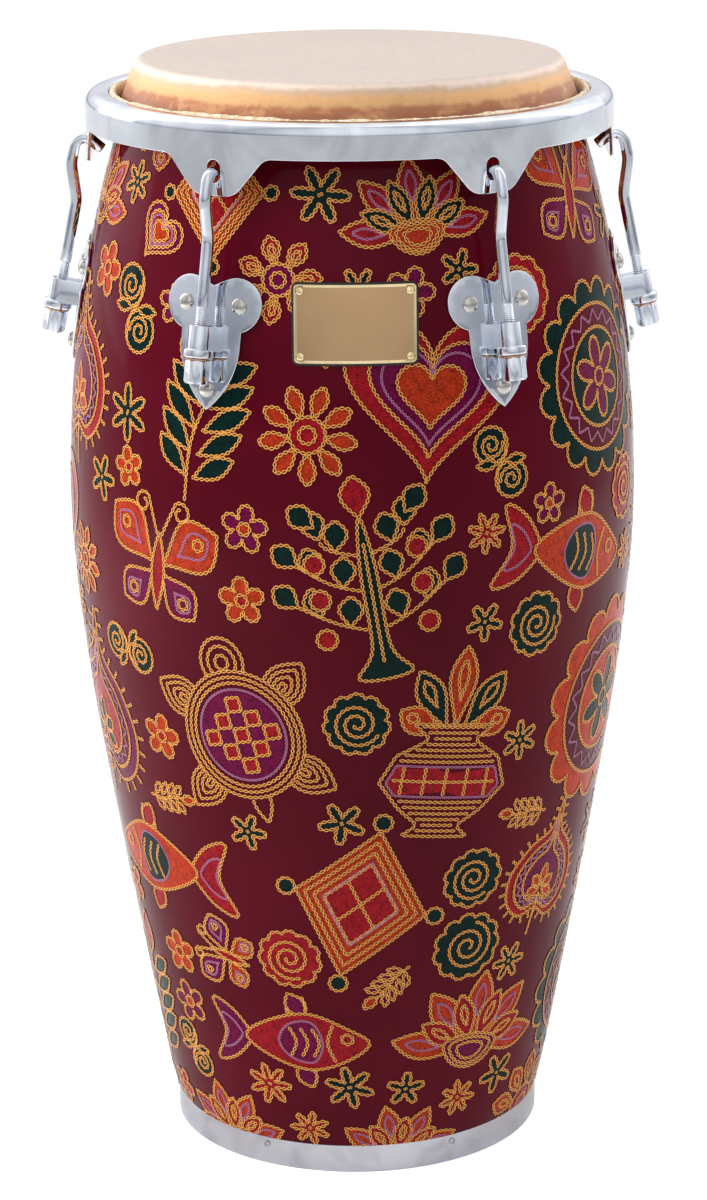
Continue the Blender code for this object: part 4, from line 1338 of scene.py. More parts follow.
def make_print(settings):
    cloth = Cloth()
    threads = {name: Layer() for name in ("amber_low", "amber_middle", "amber_high", "lilac_all")}
    stitch_shadows = Layer()
    patches = {name: Layer() for name in ("green", "red", "orange", "purple", "ground")}
    low_end, middle_end = cloth.rises[-1] / 3, 2 * cloth.rises[-1] / 3
    for figure, degrees, rise, size, turn, flipped in Layout(cloth, settings.seed).figures:
        spot = (degrees, rise)
        scale = np.array((-size if flipped else size, size))
        for level, (colour, outline) in zip(figure.levels(), figure.patches):
            sew_patch(patches[colour], cloth, spot, turned_points(outline * scale, turn), level, turn)
        amber_band = "amber_low" if rise < low_end else "amber_middle" if rise < middle_end else "amber_high"
        for colour, points, closed in figure.shown_chains():
            layer = threads[amber_band if colour == "amber" else "lilac_all"]
            fineness = 1.0 if colour == "amber" else LILAC_FINENESS
            chain = (turned_points(points * scale, turn), closed)
            sew_chain(layer, stitch_shadows, cloth, spot, chain, settings, fineness)
    patches.pop("ground").build("ground_filling", bpy.data.materials["maroon_print"])
    for name, layer in patches.items():
        layer.build(f"{name}_filling", filling(f"{name}_filling", getattr(settings, name), settings))
    amber = thread("amber_thread", settings.amber, settings)
    lilac = thread("lilac_thread", settings.lilac, settings)
    for name, layer in threads.items():
        colour, band = name.split("_")
        layer.build(f"{colour}_stitches_{band}", amber if colour == "amber" else lilac)
    # Half the ground colour: painted shade for the hollows of the stitches.
    painted_shadow_colour = tuple(0.5 * channel for channel in settings.ground)
    stitch_shadows.build("stitch_hollows", filling("stitch_hollow", painted_shadow_colour, settings))


# Rows of the shell above and below its belly, and how many of them its lining takes as one
UPPER_ROWS = 52
LOWER_ROWS = 68
LINING_SKIP = 5


def make_shell(settings):
    upper = np.linspace(EDGE_BASE, BELLY_HEIGHT, UPPER_ROWS)
    lower = np.linspace(BELLY_HEIGHT, RING_HEIGHT + GAP, LOWER_ROWS)
    heights = np.concatenate([upper, lower[1:]])
    outer = [(shell_radius(height), height) for height in heights]
    edge_centre = (shell_radius(EDGE_BASE) - EDGE_WIDTH, EDGE_BASE)
    crest = arc(edge_centre, (EDGE_WIDTH, EDGE_HEIGHT), math.pi / 2, 0, 8)
    foot = [
        (RING_GROOVE_RADIUS, RING_HEIGHT + GAP),
        (RING_GROOVE_RADIUS, SHELL_BOTTOM),
        (RING_GROOVE_RADIUS - FOOT_WALL, SHELL_BOTTOM),
        (RING_GROOVE_RADIUS - FOOT_WALL, RING_HEIGHT + GAP),
    ]
    inner = [(shell_radius(height) - SHELL_WALL, height) for height in heights[-2::-LINING_SKIP]]
    inner.append((shell_radius(EDGE_BASE) - SHELL_WALL, SHELL_TOP - CREST_WIDTH))
    printed = crest[:-1] + outer + foot[:1]
    points, faces, uv = revolve(printed)
    cloth = printed_cloth(settings)
    shell = add_piece("printed_shell", points, faces, cloth, BODY_OF_SHELL, uv=uv, sharp=40)
    stands_for("shell")
    points, faces, uv = revolve(foot + inner + crest[:1])
    lining = add_piece("shell_lining", points, faces, bare_fibreglass(), BODY_OF_SHELL, uv=uv, sharp=40)
    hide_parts("shell")


def bare_fibreglass():
    """The unpainted inside of the shell: resin over a mat of glass strands."""
    made = new_material("bare_fibreglass", (0.20, 0.13, 0.07), 0.5, Specular_IOR_Level=0.4)
    nodes = Nodes(made)
    place = nodes.place()
    strands = nodes.cells(place, 180, "DISTANCE_TO_EDGE")
    resin = nodes.noise(place, 24, 4, 0.6)
    both = nodes.weighed(strands, 0.8, resin, 0.6)
    stops = [(0.2, (0.09, 0.055, 0.03)), (0.5, (0.2, 0.13, 0.07)), (0.8, (0.34, 0.25, 0.15))]
    nodes.set("Base Color", nodes.ramp(both, stops))
    nodes.set("Normal", nodes.bump(both, 0.0008, 0.5))
    return made


# Skin, hoop and rim

# Waves round the skin's tuck and its cut end: seeds of their phases, and how many go round
TUCK_SEED = 11
TUCK_WAVES = (3, 7, 13, 22, 41)
TUCK_DEPTH = 0.0009
TUCK_REACH = 0.012
CUT_SEED = 23
CUT_WAVES = (2, 5, 11, 19, 34, 57, 83, 119, 171, 233)
# Rows of the cut end: distance from the hoop's circle, height over the wrapped hoop, and raggedness
CUT_ROWS = (
    (-0.0060, -0.0010, 0), (-0.0062, 0.0016, 0.2), (-0.0059, 0.0036, 0.7), (-0.0054, 0.0047, 1.0),
    (-0.0046, 0.0051, 1.2), (-0.0038, 0.0049, 1.0), (-0.0030, 0.0045, 0.7), (-0.0022, 0.0042, 0.6),
    (-0.0014, 0.0039, 0.5), (-0.0012, -0.0006, 0),
)


def make_skin(settings):
    width = EDGE_WIDTH + GAP + SKIN
    rise = EDGE_HEIGHT + GAP + SKIN
    centre = (shell_radius(EDGE_BASE) - EDGE_WIDTH, EDGE_BASE)
    wrap_start, wrap_end = math.radians(205), math.radians(440)
    wrap = arc((HOOP_CIRCLE, HOOP_HEIGHT), (WRAP_RADIUS + SKIN,) * 2, wrap_start, wrap_end, 26)
    across = (wrap[0][0] - centre[0]) / width
    along = (wrap[0][1] - centre[1]) / rise
    leaves_edge = math.atan2(along, across) + math.acos(1 / math.hypot(across, along))
    shoulder = arc(centre, (width, rise), math.pi / 2, leaves_edge, 14)
    face = [(radius, HEAD_TOP) for radius in np.linspace(0.0005, shoulder[0][0], 30)[:-1]]
    slope = straight([shoulder[-1], wrap[0]], 10, False)[1:-1]
    profile = face + shoulder + [tuple(point) for point in slope] + wrap
    points, faces, uv = revolve(profile)
    chance = random.Random(TUCK_SEED)
    waves = [(order, chance.uniform(0, 6.28), chance.uniform(0.4, 1)) for order in TUCK_WAVES]
    turn = np.arctan2(points[:, 1], points[:, 0])
    ripple = sum(weight * np.sin(order * turn + phase) for order, phase, weight in waves) / 5
    tucked = np.clip((RIM_TOP + TUCK_REACH / 2 - points[:, 2]) / TUCK_REACH, 0, 1)
    tucked *= points[:, 2] > RIM_BOTTOM
    reach = np.hypot(points[:, 0], points[:, 1])
    sink = TUCK_DEPTH * ripple * tucked * (reach < HOOP_CIRCLE)
    points[:, 2] -= np.abs(sink)
    faces.append(tuple(reversed(range(FINE_STEPS))))
    skin = add_piece("drum_skin", points, faces, natural_skin(settings), BODY_OF_HEAD, uv=uv)
    stands_for("head_skin")


def make_cut_edge(settings):
    """The skin's cut end, which stands up unevenly between the skin and the rim's lip."""
    chance = random.Random(CUT_SEED)
    count = 3 * FINE_STEPS
    waves = [(order, chance.uniform(0, 6.28), 1 / (1 + order / 40)) for order in CUT_WAVES]
    turns = np.arange(count) * 2 * math.pi / count
    ragged, frayed = (
        sum(weight * np.sin(order * turns + phase + shift) for order, phase, weight in waves)
        for shift in (0, 2)
    )
    ragged *= settings.ragged / np.abs(ragged).max()
    frayed *= settings.ragged / np.abs(frayed).max()
    rows = []
    foot = HOOP_HEIGHT + WRAP_RADIUS
    for lean, lift, share in CUT_ROWS:
        radius = HOOP_CIRCLE + lean + 0.35 * frayed * share * (lean < -0.002)
        rows.append(about_axis(radius, turns, foot + lift + ragged * share))
    across = np.repeat(np.arange(len(rows)) * 0.001, count)
    uv = np.stack([np.tile(turns * HOOP_CIRCLE, len(rows)), across], axis=-1)
    faces = bands(len(rows), count)
    edge = add_piece("skin_cut_edge", np.concatenate(rows), faces, cut_edge(settings), BODY_OF_HEAD, uv=uv)


def ear_half():
    """The right half of one ear's outline from the rim down to its tip, measured up from the tip."""
    flank_foot = EAR_FLAT + EAR_TIP_RADIUS * math.tan(EAR_FLANK / 2)
    root_start = EAR_DEPTH - EAR_ROOT_RADIUS * (1 - math.cos(EAR_FLANK))
    spread = flank_foot + root_start / math.tan(EAR_FLANK) + EAR_ROOT_RADIUS * math.sin(EAR_FLANK)
    level = math.pi / 2
    root_centre = (spread, EAR_DEPTH - EAR_ROOT_RADIUS)
    root = arc(root_centre, (EAR_ROOT_RADIUS,) * 2, level, level + EAR_FLANK, 10)
    tip_centre = (EAR_FLAT, EAR_TIP_RADIUS)
    tip = arc(tip_centre, (EAR_TIP_RADIUS,) * 2, EAR_FLANK - level, -level, 12)
    return root + tip


def slot_outline():
    half = SLOT_HALF_WIDTH
    return mirrored(rounded_side(half, SLOT_HEIGHT, 0, half, 8))


def wall_on_rim(flat, lift, angle):
    """Points of the rim's wall, laid flat as metres round it and height, as points in the frame."""
    flat = np.asarray(flat)
    return about_axis(RIM_RADIUS + lift, angle + flat[:, 0] / RIM_RADIUS, flat[:, 1])


def soft_edge(edge, thickness):
    """Steps round a sheet's softened edge from its face to its back, as (distance in, depth)."""
    steps = []
    for index, turn in enumerate(np.linspace(0, math.pi, EDGE_STEPS + 1)):
        in_front = 2 * index <= EDGE_STEPS
        depth = edge * (1 - math.cos(turn)) if in_front else thickness - edge * (1 + math.cos(turn))
        steps.append((edge * (1 - math.sin(turn)), depth))
    return steps


def two_sides(cover, offset):
    """The faces of a sheet's front, and of its back, whose points come later by an offset."""
    return [tuple(face) for face in cover] + [tuple(offset + i for i in reversed(face)) for face in cover]


def rounded_sheet(outline, spacing, edge, thickness, place):
    """A sheet with softened edges. place(flat, lift) gives points, with lift from -thickness to 0."""
    flat, cover = filled([inset(outline, edge)], spacing)
    points = [place(flat, np.zeros(len(flat))), place(flat, np.full(len(flat), -thickness))]
    steps = soft_edge(edge, thickness)
    for distance, depth in steps:
        points.append(place(inset(outline, distance), np.full(len(outline), -depth)))
    faces = two_sides(cover, len(flat)) + bands(len(steps), len(outline), 2 * len(flat))
    return np.concatenate(points), faces


def welded(points, faces, name):
    """A mesh whose loops of coincident points are joined and whose faces all point outwards."""
    work = bmesh.new()
    made = [work.verts.new(tuple(point)) for point in points]
    for face in faces:
        corners = [made[i] for i in face]
        if len(set(corners)) == len(corners) and not work.faces.get(corners):
            work.faces.new(corners)
    bmesh.ops.remove_doubles(work, verts=work.verts, dist=2e-6)
    bmesh.ops.recalc_face_normals(work, faces=work.faces)
    mesh = bpy.data.meshes.new(name)
    work.to_mesh(mesh)
    work.free()
    mesh.shade_smooth()
    return mesh


def rounded_ring(name, bore, profile, steps=64):
    """A short ring from its outer side, closed by a plain bore."""
    profile = [(bore, profile[0][1]), *profile, (bore, profile[-1][1])]
    points, faces, _ = revolve(profile, steps, closed=True)
    return welded(points, faces, name)


def place_mesh(name, mesh, material, body, matrix=Matrix(), sharp=None):
    """Copies a mesh into place as one piece."""
    mesh = mesh.copy()
    mesh.transform(matrix)
    mesh.materials.append(material)
    if sharp is not None:
        mesh.set_sharp_from_angle(angle=math.radians(sharp))
    piece = linked(name, mesh)
    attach(piece, body)
    return piece


def stands_for(node):
    """Hides the solid whose place a new piece takes."""
    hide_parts(node)


def lug_angle(index):
    return FRONT + (index + 0.5) * 2 * math.pi / LUG_COUNT


def make_rim(materials):
    """The wall with its ears and slots in six like stretches, and the rolled flange above."""
    corner = (RIM_RADIUS - RIM_CORNER, RIM_TOP - RIM_CORNER)
    wall_top = corner[1]
    stretch = RIM_RADIUS * math.pi / LUG_COUNT
    ear = [(x, EAR_TIP + y) for x, y in ear_half()]
    half = [(0.0, wall_top), (stretch, wall_top), (stretch, RIM_BOTTOM)] + ear
    outline = refine(mirrored(half), SHEET_STEP)
    slot = [(x, EAR_SEAT + y) for x, y in slot_outline()]
    pieces = [rim_stretch(outline, slot, lug_angle(index), wall_top) for index in range(LUG_COUNT)]
    lip_turns = RIM_FLANGE / 2
    lip_centre = (LIP_RADIUS + lip_turns, RIM_TOP - lip_turns)
    outer = arc(corner, (RIM_CORNER, RIM_CORNER), 0, math.pi / 2, 12)
    lip = arc(lip_centre, (lip_turns, lip_turns), math.pi / 2, 3 * math.pi / 2, 8)
    inner_radii = (RIM_CORNER - RIM_SHEET, RIM_CORNER - RIM_FLANGE)
    inner = arc(corner, inner_radii, math.pi / 2, 0, 6)
    pieces.append(revolve((outer + lip + inner)[::-1], RIM_STEPS)[:2])
    all_points, all_faces, first = [], [], 0
    for points, faces in pieces:
        all_points.append(points)
        all_faces += [tuple(i + first for i in face) for face in faces]
        first += len(points)
    mesh = welded(np.concatenate(all_points), all_faces, "rim_sheet")
    rim = place_mesh("chromed_rim", mesh, materials["chrome"], BODY_OF_HEAD)
    set_wall_normals(rim.data, wall_top)
    stands_for("rim")


def refine(outline, longest):
    """The outline with points added, so that no side is longer than a length."""
    points = []
    for start, end in zip(outline, outline[1:] + outline[:1]):
        count = max(1, math.ceil(math.dist(start, end) / longest))
        points += [
            (start[0] + (end[0] - start[0]) * i / count, start[1] + (end[1] - start[1]) * i / count)
            for i in range(count)
        ]
    return points


def rim_stretch(outline, slot, angle, wall_top):
    """One sixth of the rim's wall. Its cut sides and top stay square, to meet their neighbours."""
    fixed = np.array(outline)
    at_side = np.abs(fixed[:, 0]) > fixed[:, 0].max() - 1e-7
    at_top = fixed[:, 1] > wall_top - 1e-7
    steps = soft_edge(RIM_EDGE, RIM_SHEET)
    loops = []
    for distance, _ in steps:
        loop = inset(outline, distance)
        loop[at_side, 0] = fixed[at_side, 0]
        loop[at_top, 1] = wall_top
        loops.append(loop)
    slots = [inset(slot, -distance) for distance, _ in steps]
    flat, cover = filled([loops[0], slots[0]], SHEET_STEP)
    points = [wall_on_rim(flat, 0, angle), wall_on_rim(flat, -RIM_SHEET, angle)]
    for rows in (loops, slots):
        points += [wall_on_rim(row, -depth, angle) for row, (_, depth) in zip(rows, steps)]
    first = 2 * len(flat)
    count = len(outline)
    square = at_side | at_top
    open_side = square & np.roll(square, -1)
    faces = two_sides(cover, len(flat))
    faces += [
        face for index, face in enumerate(bands(len(steps), count, first)) if not open_side[index % count]
    ]
    faces += bands(len(steps), len(slot), first + len(steps) * count)
    return np.concatenate(points), faces


def set_wall_normals(mesh, wall_top):
    """Gives the rim's rolled wall the normals of a true cylinder, so that reflections run on."""
    normals, points = np.empty((2, len(mesh.vertices), 3))
    mesh.vertex_normals.foreach_get("vector", normals.reshape(-1))
    mesh.vertices.foreach_get("co", points.reshape(-1))
    radius = np.hypot(points[:, 0], points[:, 1])
    for wall, way in ((RIM_RADIUS, 1), (RIM_RADIUS - RIM_SHEET, -1)):
        flat = (np.abs(radius - wall) < 2e-5) & (points[:, 2] < wall_top + 1e-5)
        outward = points[flat, :2] / radius[flat, None]
        normals[flat] = np.column_stack([way * outward, np.zeros(flat.sum())])
    mesh.normals_split_custom_set_from_vertices([tuple(normal) for normal in normals])


# Where things lie

def on_shell(angle, height):
    """A frame on the shell's outer face: +Z along the outward normal, +X level and +Y up the shell."""
    radius = shell_radius(height)
    place_on = Matrix.Translation((radius * math.cos(angle), radius * math.sin(angle), height))
    turn = Matrix.Rotation(angle + math.pi / 2, 4, "Z")
    return place_on @ turn @ Matrix.Rotation(math.pi / 2 - shell_tilt(height), 4, "X")


def pressed_on_shell(angle, centre_height, base):
    """A place function for rounded_sheet: flat points seen from outside, pressed onto the shell."""
    def place(flat, lift):
        flat = np.asarray(flat, float)
        heights = centre_height + flat[:, 1]
        radii = np.array([shell_radius(height) for height in heights])
        tilts = np.array([shell_tilt(height) for height in heights])
        turn = angle + np.arcsin(flat[:, 0] / radii)
        out = base + lift
        return about_axis(radii + out * np.cos(tilts), turn, heights + out * np.sin(tilts))
    return place


def lug_turn(index):
    return Matrix.Rotation(lug_angle(index), 4, "Z")


def rod_frame():
    """For the lug on the +X axis: the top of the strap on the rod's axis, +Z up the rod, +X outwards."""
    radius = shell_radius(STRAP_TOP) + GAP + PLATE_THICKNESS + ROD_STANDOFF
    return Matrix.Translation((radius, 0, STRAP_TOP)) @ Matrix.Rotation(-ROD_LEAN, 4, "Y")


def bolt_frames():
    """The three bolts of the lug on the +X axis."""
    upper = STRAP_TOP + BOLT_RISE
    side = math.asin(BOLT_SPREAD / shell_radius(upper))
    return {
        "left": on_shell(-side, upper),
        "right": on_shell(side, upper),
        "lower": on_shell(0, STRAP_TOP + LOWER_BOLT_RISE),
    }


# Lugs, rods and nuts

def plate_outline():
    lobe = Vector((LOBE_SPREAD, LOBE_RISE))
    notch = Vector((0, NOTCH_RISE))
    to_lobe = lobe - notch
    tangent = math.sqrt(to_lobe.length_squared - LOBE_RADIUS**2)
    start = math.atan2(to_lobe.y, to_lobe.x) + math.asin(LOBE_RADIUS / to_lobe.length)
    leaf_radius = (LEAF_HALF_WIDTH**2 + (LEAF_RISE - TIP_RISE) ** 2) / (2 * LEAF_HALF_WIDTH)
    leaf_centre = (LEAF_HALF_WIDTH - leaf_radius, LEAF_RISE)
    tip_angle = math.asin((TIP_RISE - LEAF_RISE) / leaf_radius)
    waist_angle = math.acos((LEAF_HALF_WIDTH - LOBE_SPREAD) / LOBE_RADIUS)
    lobe_arc = arc(lobe, (LOBE_RADIUS,) * 2, start + math.pi / 2, -waist_angle, 30)
    leaf_arc = arc(leaf_centre, (leaf_radius,) * 2, 0, tip_angle, 16)
    rise = notch + Vector((math.cos(start), math.sin(start))) * tangent
    return mirrored([tuple(notch), tuple(rise)] + lobe_arc[1:] + leaf_arc)


def stacked(outline, levels):
    """A prism of one flat outline at several (inset, height) levels, capped at both ends."""
    points = [(x, y, height) for distance, height in levels for x, y in inset(outline, distance)]
    cover = filled([inset(outline, levels[0][0])], 1.0)[1]
    last = (len(levels) - 1) * len(outline)
    return points, bands(len(levels), len(outline)) + two_sides(cover, last)


def lug_meshes():
    """The plate, and the strap with its collar, for the lug on the +X axis."""
    place = pressed_on_shell(0, STRAP_TOP, GAP + PLATE_THICKNESS)
    points, faces = rounded_sheet(plate_outline(), SHEET_STEP, PLATE_EDGE, PLATE_THICKNESS, place)
    plate = welded(points, faces, "lug_sheet")
    back = -(ROD_STANDOFF + PLATE_THICKNESS / 2)
    outer = arc((0, 0), (STRAP_RADIUS,) * 2, math.pi / 2, -math.pi / 2, 20)
    inner_radius = STRAP_RADIUS - STRAP_WALL
    inner = arc((0, 0), (inner_radius,) * 2, -math.pi / 2, math.pi / 2, 16)
    outline = [(back, STRAP_RADIUS)] + outer + [(back, -STRAP_RADIUS), (back, -inner_radius)] + inner
    outline.append((back, inner_radius))
    edge = 0.0004
    levels = [(edge, 0.0), (edge * 0.3, -edge * 0.3), (0, -edge), (0, -STRAP_HEIGHT - 0.001)]
    points, faces = stacked(outline, levels)
    strap = welded(points, faces, "strap")
    strap.transform(rod_frame())
    side = rounded_side(COLLAR_RADIUS, -STRAP_HEIGHT, -(STRAP_HEIGHT + COLLAR_HEIGHT), 0.0012, 5)
    collar = rounded_ring("collar", ROD_RADIUS + COLLAR_PLAY, side)
    collar.transform(rod_frame())
    return plate, strap, collar


def make_lugs(materials):
    plate, strap, collar = lug_meshes()
    for index in range(LUG_COUNT):
        number = index + 1
        for name, mesh in (("face", plate), ("strap", strap), ("collar", collar)):
            name = f"lug_{name}_{number}"
            shown = place_mesh(name, mesh, materials["chrome"], BODY_OF_SHELL, lug_turn(index), 40)
            stands_for(f"lug_plate_{number}")


def dome(radius, rise, seat, shank, length, steps=40):
    """A domed head on its shank. Its seat is at a height above the frame's plane."""
    brim = 0.0004
    profile = [(0.00002, seat + rise)]
    profile += arc((0, seat + brim), (radius, rise - brim), math.pi / 2, 0, 12)[1:]
    profile += [(radius, seat), (shank, seat), (shank, -length)]
    points, faces, _ = revolve(profile, steps)
    return welded(points, faces + end_faces(len(profile), steps), "dome")


def make_bolts(materials):
    seat = GAP + PLATE_THICKNESS
    mesh = dome(BOLT_HEAD_RADIUS, BOLT_HEAD_HEIGHT, seat, BOLT_SHANK_RADIUS, BOLT_LENGTH)
    for index in range(LUG_COUNT):
        for side, place_on in bolt_frames().items():
            name = f"{index + 1}_{side}"
            matrix = lug_turn(index) @ place_on
            bolt = place_mesh(f"dome_bolt_{name}", mesh, materials["nickel"], BODY_OF_SHELL, matrix, 40)
            stands_for(f"lug_bolt_{name}")


def hook_route(steps):
    """The rod's line from the tip of its hook to its lower end, for the lug on the +X axis."""
    seat = (ROD_RADIUS + HOOK_SEAT_CLEARANCE) / math.cos(HOOK_ANGLE)
    in_slot = Vector((RIM_RADIUS - RIM_SHEET / 2, 0, EAR_SEAT + seat))
    along_hook = Vector((math.cos(HOOK_ANGLE), 0, math.sin(HOOK_ANGLE)))
    arch = in_slot + along_hook * HOOK_OVERHANG
    shoulder = Vector((RIM_RADIUS + SHOULDER_OVERHANG, 0, arch.z - SHOULDER_DROP))
    knee = rod_frame() @ Vector((0, 0, KNEE_RISE))
    end = rod_frame() @ Vector((0, 0, NUT_BOTTOM + 0.001))
    corners = [in_slot - along_hook * HOOK_REACH, arch, shoulder, knee, end]
    points = [corners[0]]
    radii = (ARCH_RADIUS, BEND_RADIUS, BEND_RADIUS)
    for before, corner, after, radius in zip(corners, corners[1:], corners[2:], radii):
        to_before = (before - corner).normalized()
        to_after = (after - corner).normalized()
        half = to_before.angle(to_after) / 2
        centre = corner + (to_before + to_after).normalized() * radius / math.sin(half)
        start = corner + to_before * radius / math.tan(half) - centre
        finish = corner + to_after * radius / math.tan(half) - centre
        points += [
            centre + start.normalized().slerp(finish.normalized(), i / steps) * radius
            for i in range(steps + 1)
        ]
    return points, end


def make_rods(materials):
    sides = 28
    bends, end = hook_route(14)
    axis = rod_frame()
    thread_start = axis @ Vector((0, 0, THREAD_TOP))
    tip, first = bends[0], bends[1]
    nose = (first - tip).normalized()
    chamfer = 0.0008
    path = [tip, tip + nose * chamfer * 0.3, tip + nose * chamfer] + bends[1:]
    radii = [ROD_RADIUS - chamfer, ROD_RADIUS - chamfer * 0.3] + [ROD_RADIUS] * (len(path) - 2)
    before = path[-1]
    path += [before.lerp(thread_start, share) for share in (0.25, 0.5, 0.75, 1.0)]
    radii += [ROD_RADIUS] * 4
    length = (thread_start - end).length
    count = int(length / THREAD_PITCH * STEPS_PER_PITCH)
    turns = np.arange(sides) / sides
    for step in range(1, count + 1):
        travelled = length * step / count
        path.append(thread_start.lerp(end, step / count))
        groove = np.abs(((travelled / THREAD_PITCH + turns) % 1) * 2 - 1)
        depth = THREAD_DEPTH * min(1, step / STEPS_PER_PITCH)
        radii.append(ROD_RADIUS - depth * (1 - groove))
    points, faces = tube([tuple(point) for point in path], radii, sides)
    mesh = welded(points, faces, "rod")
    for index in range(LUG_COUNT):
        number = index + 1
        turn = lug_turn(index)
        rod = place_mesh(f"tuning_rod_{number}", mesh, materials["chrome"], f"rod_{number}", turn)
        stands_for(f"hook_rod_{number}")


def nut_mesh():
    """A long hexagon nut with soft corners and chamfered ends, in the rod's frame."""
    sides = 96
    turns = np.arange(sides) * 2 * math.pi / sides
    flat = NUT_RADIUS * math.cos(math.pi / 6)
    hexagon = flat / np.cos((turns % (math.pi / 3)) - math.pi / 6)
    hexagon = np.minimum(hexagon, NUT_RADIUS * 0.985)
    top = NUT_TOP - WASHER_THICKNESS
    bore = ROD_RADIUS + GAP
    levels = [
        (bore, top), (flat * 0.985, top), (NUT_RADIUS, top - NUT_CHAMFER * 0.7),
        (NUT_RADIUS, NUT_BOTTOM + NUT_CHAMFER), (flat * 0.97, NUT_BOTTOM), (bore, NUT_BOTTOM),
        (bore, top - 0.004),
    ]
    points = []
    for reach, height in levels:
        points.append(about_axis(np.minimum(hexagon, reach), turns, height))
    faces = [(a, d, c, b) for a, b, c, d in bands(len(levels), sides, closed=True)]
    return welded(np.concatenate(points), faces, "nut")


def make_nuts(materials):
    nut = nut_mesh()
    side = rounded_side(WASHER_RADIUS, NUT_TOP, NUT_TOP - WASHER_THICKNESS, 0.0003, 4)
    washer = rounded_ring("washer", ROD_RADIUS + GAP, side)
    for index in range(LUG_COUNT):
        number = index + 1
        place_on = lug_turn(index) @ rod_frame()
        for name, mesh, finish in (("hexagon_nut", nut, "chrome"), ("nut_washer", washer, "copper")):
            piece = place_mesh(f"{name}_{number}", mesh, materials[finish], f"nut_{number}", place_on, 30)
            stands_for(f"tension_nut_{number}")


# Bottom ring and small screws

def make_ring(materials):
    soft = 0.0004
    top = arc((RING_RADIUS - soft, RING_HEIGHT - soft), (soft, soft), math.pi / 2, 0, 4)
    low = arc((RING_RADIUS - 0.001, 0.001), (0.001, 0.001), 0, -math.pi / 2, 5)
    inner = [
        (RING_RADIUS - RING_LIP, 0), (RING_RADIUS - RING_LIP, RING_SHEET),
        (RING_RADIUS - RING_SHEET, RING_SHEET), (RING_RADIUS - RING_SHEET, RING_HEIGHT),
    ]
    points, faces, uv = revolve(top + low + inner, closed=True)
    foot = add_piece("steel_foot_ring", points, faces, materials["ring"], BODY_OF_SHELL, uv=uv, sharp=35)
    stands_for("bottom_ring")


def screw_mesh():
    """A small cross-recess screw whose head sits on the frame's plane."""
    seat = GAP * 0.3
    mesh = dome(SCREW_HEAD_RADIUS, SCREW_HEAD_HEIGHT, seat, SCREW_SHANK_RADIUS, SCREW_LENGTH, 32)
    work = bmesh.new()
    work.from_mesh(mesh)
    arm, half = SCREW_HEAD_RADIUS * 0.6, SCREW_HEAD_RADIUS * 0.13
    for point in work.verts:
        x, y = abs(point.co.x), abs(point.co.y)
        if point.co.z > 0 and ((x < arm and y < half * 2.2) or (y < arm and x < half * 2.2)):
            point.co.z -= SCREW_HEAD_HEIGHT * 0.55
    work.to_mesh(mesh)
    work.free()
    return mesh


def make_small_screws(materials):
    """Screws that are each turned a little differently."""
    mesh = screw_mesh()
    for index in range(LUG_COUNT):
        raised = Matrix.Translation((0, 0, RING_SCREW_HEIGHT))
        turn = Matrix.Rotation(lug_angle(index) + math.pi / 2, 4, "Z") @ Matrix.Rotation(math.pi / 2, 4, "X")
        place_on = raised @ turn @ Matrix.Translation((0, 0, RING_RADIUS))
        place_on = place_on @ Matrix.Rotation(0.4 + index, 4, "Z")
        screw = place_mesh(f"foot_screw_{index + 1}", mesh, materials["steel"], BODY_OF_SHELL, place_on, 40)
        stands_for(f"ring_screw_{index + 1}")
    level = BADGE_WIDTH / 2 - BADGE_SCREW_INSET
    rise = BADGE_HEIGHT / 2 - BADGE_SCREW_INSET
    face = 2 * GAP + GASKET_THICKNESS + BADGE_THICKNESS
    for index, (across, up) in enumerate(((-1, 1), (1, 1), (-1, -1), (1, -1))):
        height = BADGE_CENTRE + up * rise
        angle = FRONT + math.asin(across * level / shell_radius(height))
        place_on = on_shell(angle, height) @ Matrix.Translation((0, 0, face - BADGE_SCREW_SINK))
        place_on = place_on @ Matrix.Rotation(0.7 + index * 0.9, 4, "Z")
        screw = place_mesh(f"plate_screw_{index + 1}", mesh, materials["brass"], BODY_OF_SHELL, place_on, 40)
        stands_for(f"badge_screw_{index + 1}")


def rounded_rectangle(width, height, corner):
    return mirrored(rounded_side(width / 2, height / 2, -height / 2, corner, 8))


# The badge's border from its foot to the field, as (distance in, height over the badge's back)
BADGE_BORDER = (
    (0.0, 0.0), (0.0, 0.0008), (0.00008, 0.00105), (0.00025, 0.00115), (0.0004, 0.0012), (0.0009, 0.0012),
    (0.0011, 0.00114), (0.0013, 0.0009), (0.0015, 0.0007), (0.0016, 0.00062), (0.0018, 0.0006),
)
BADGE_STEP = 0.005


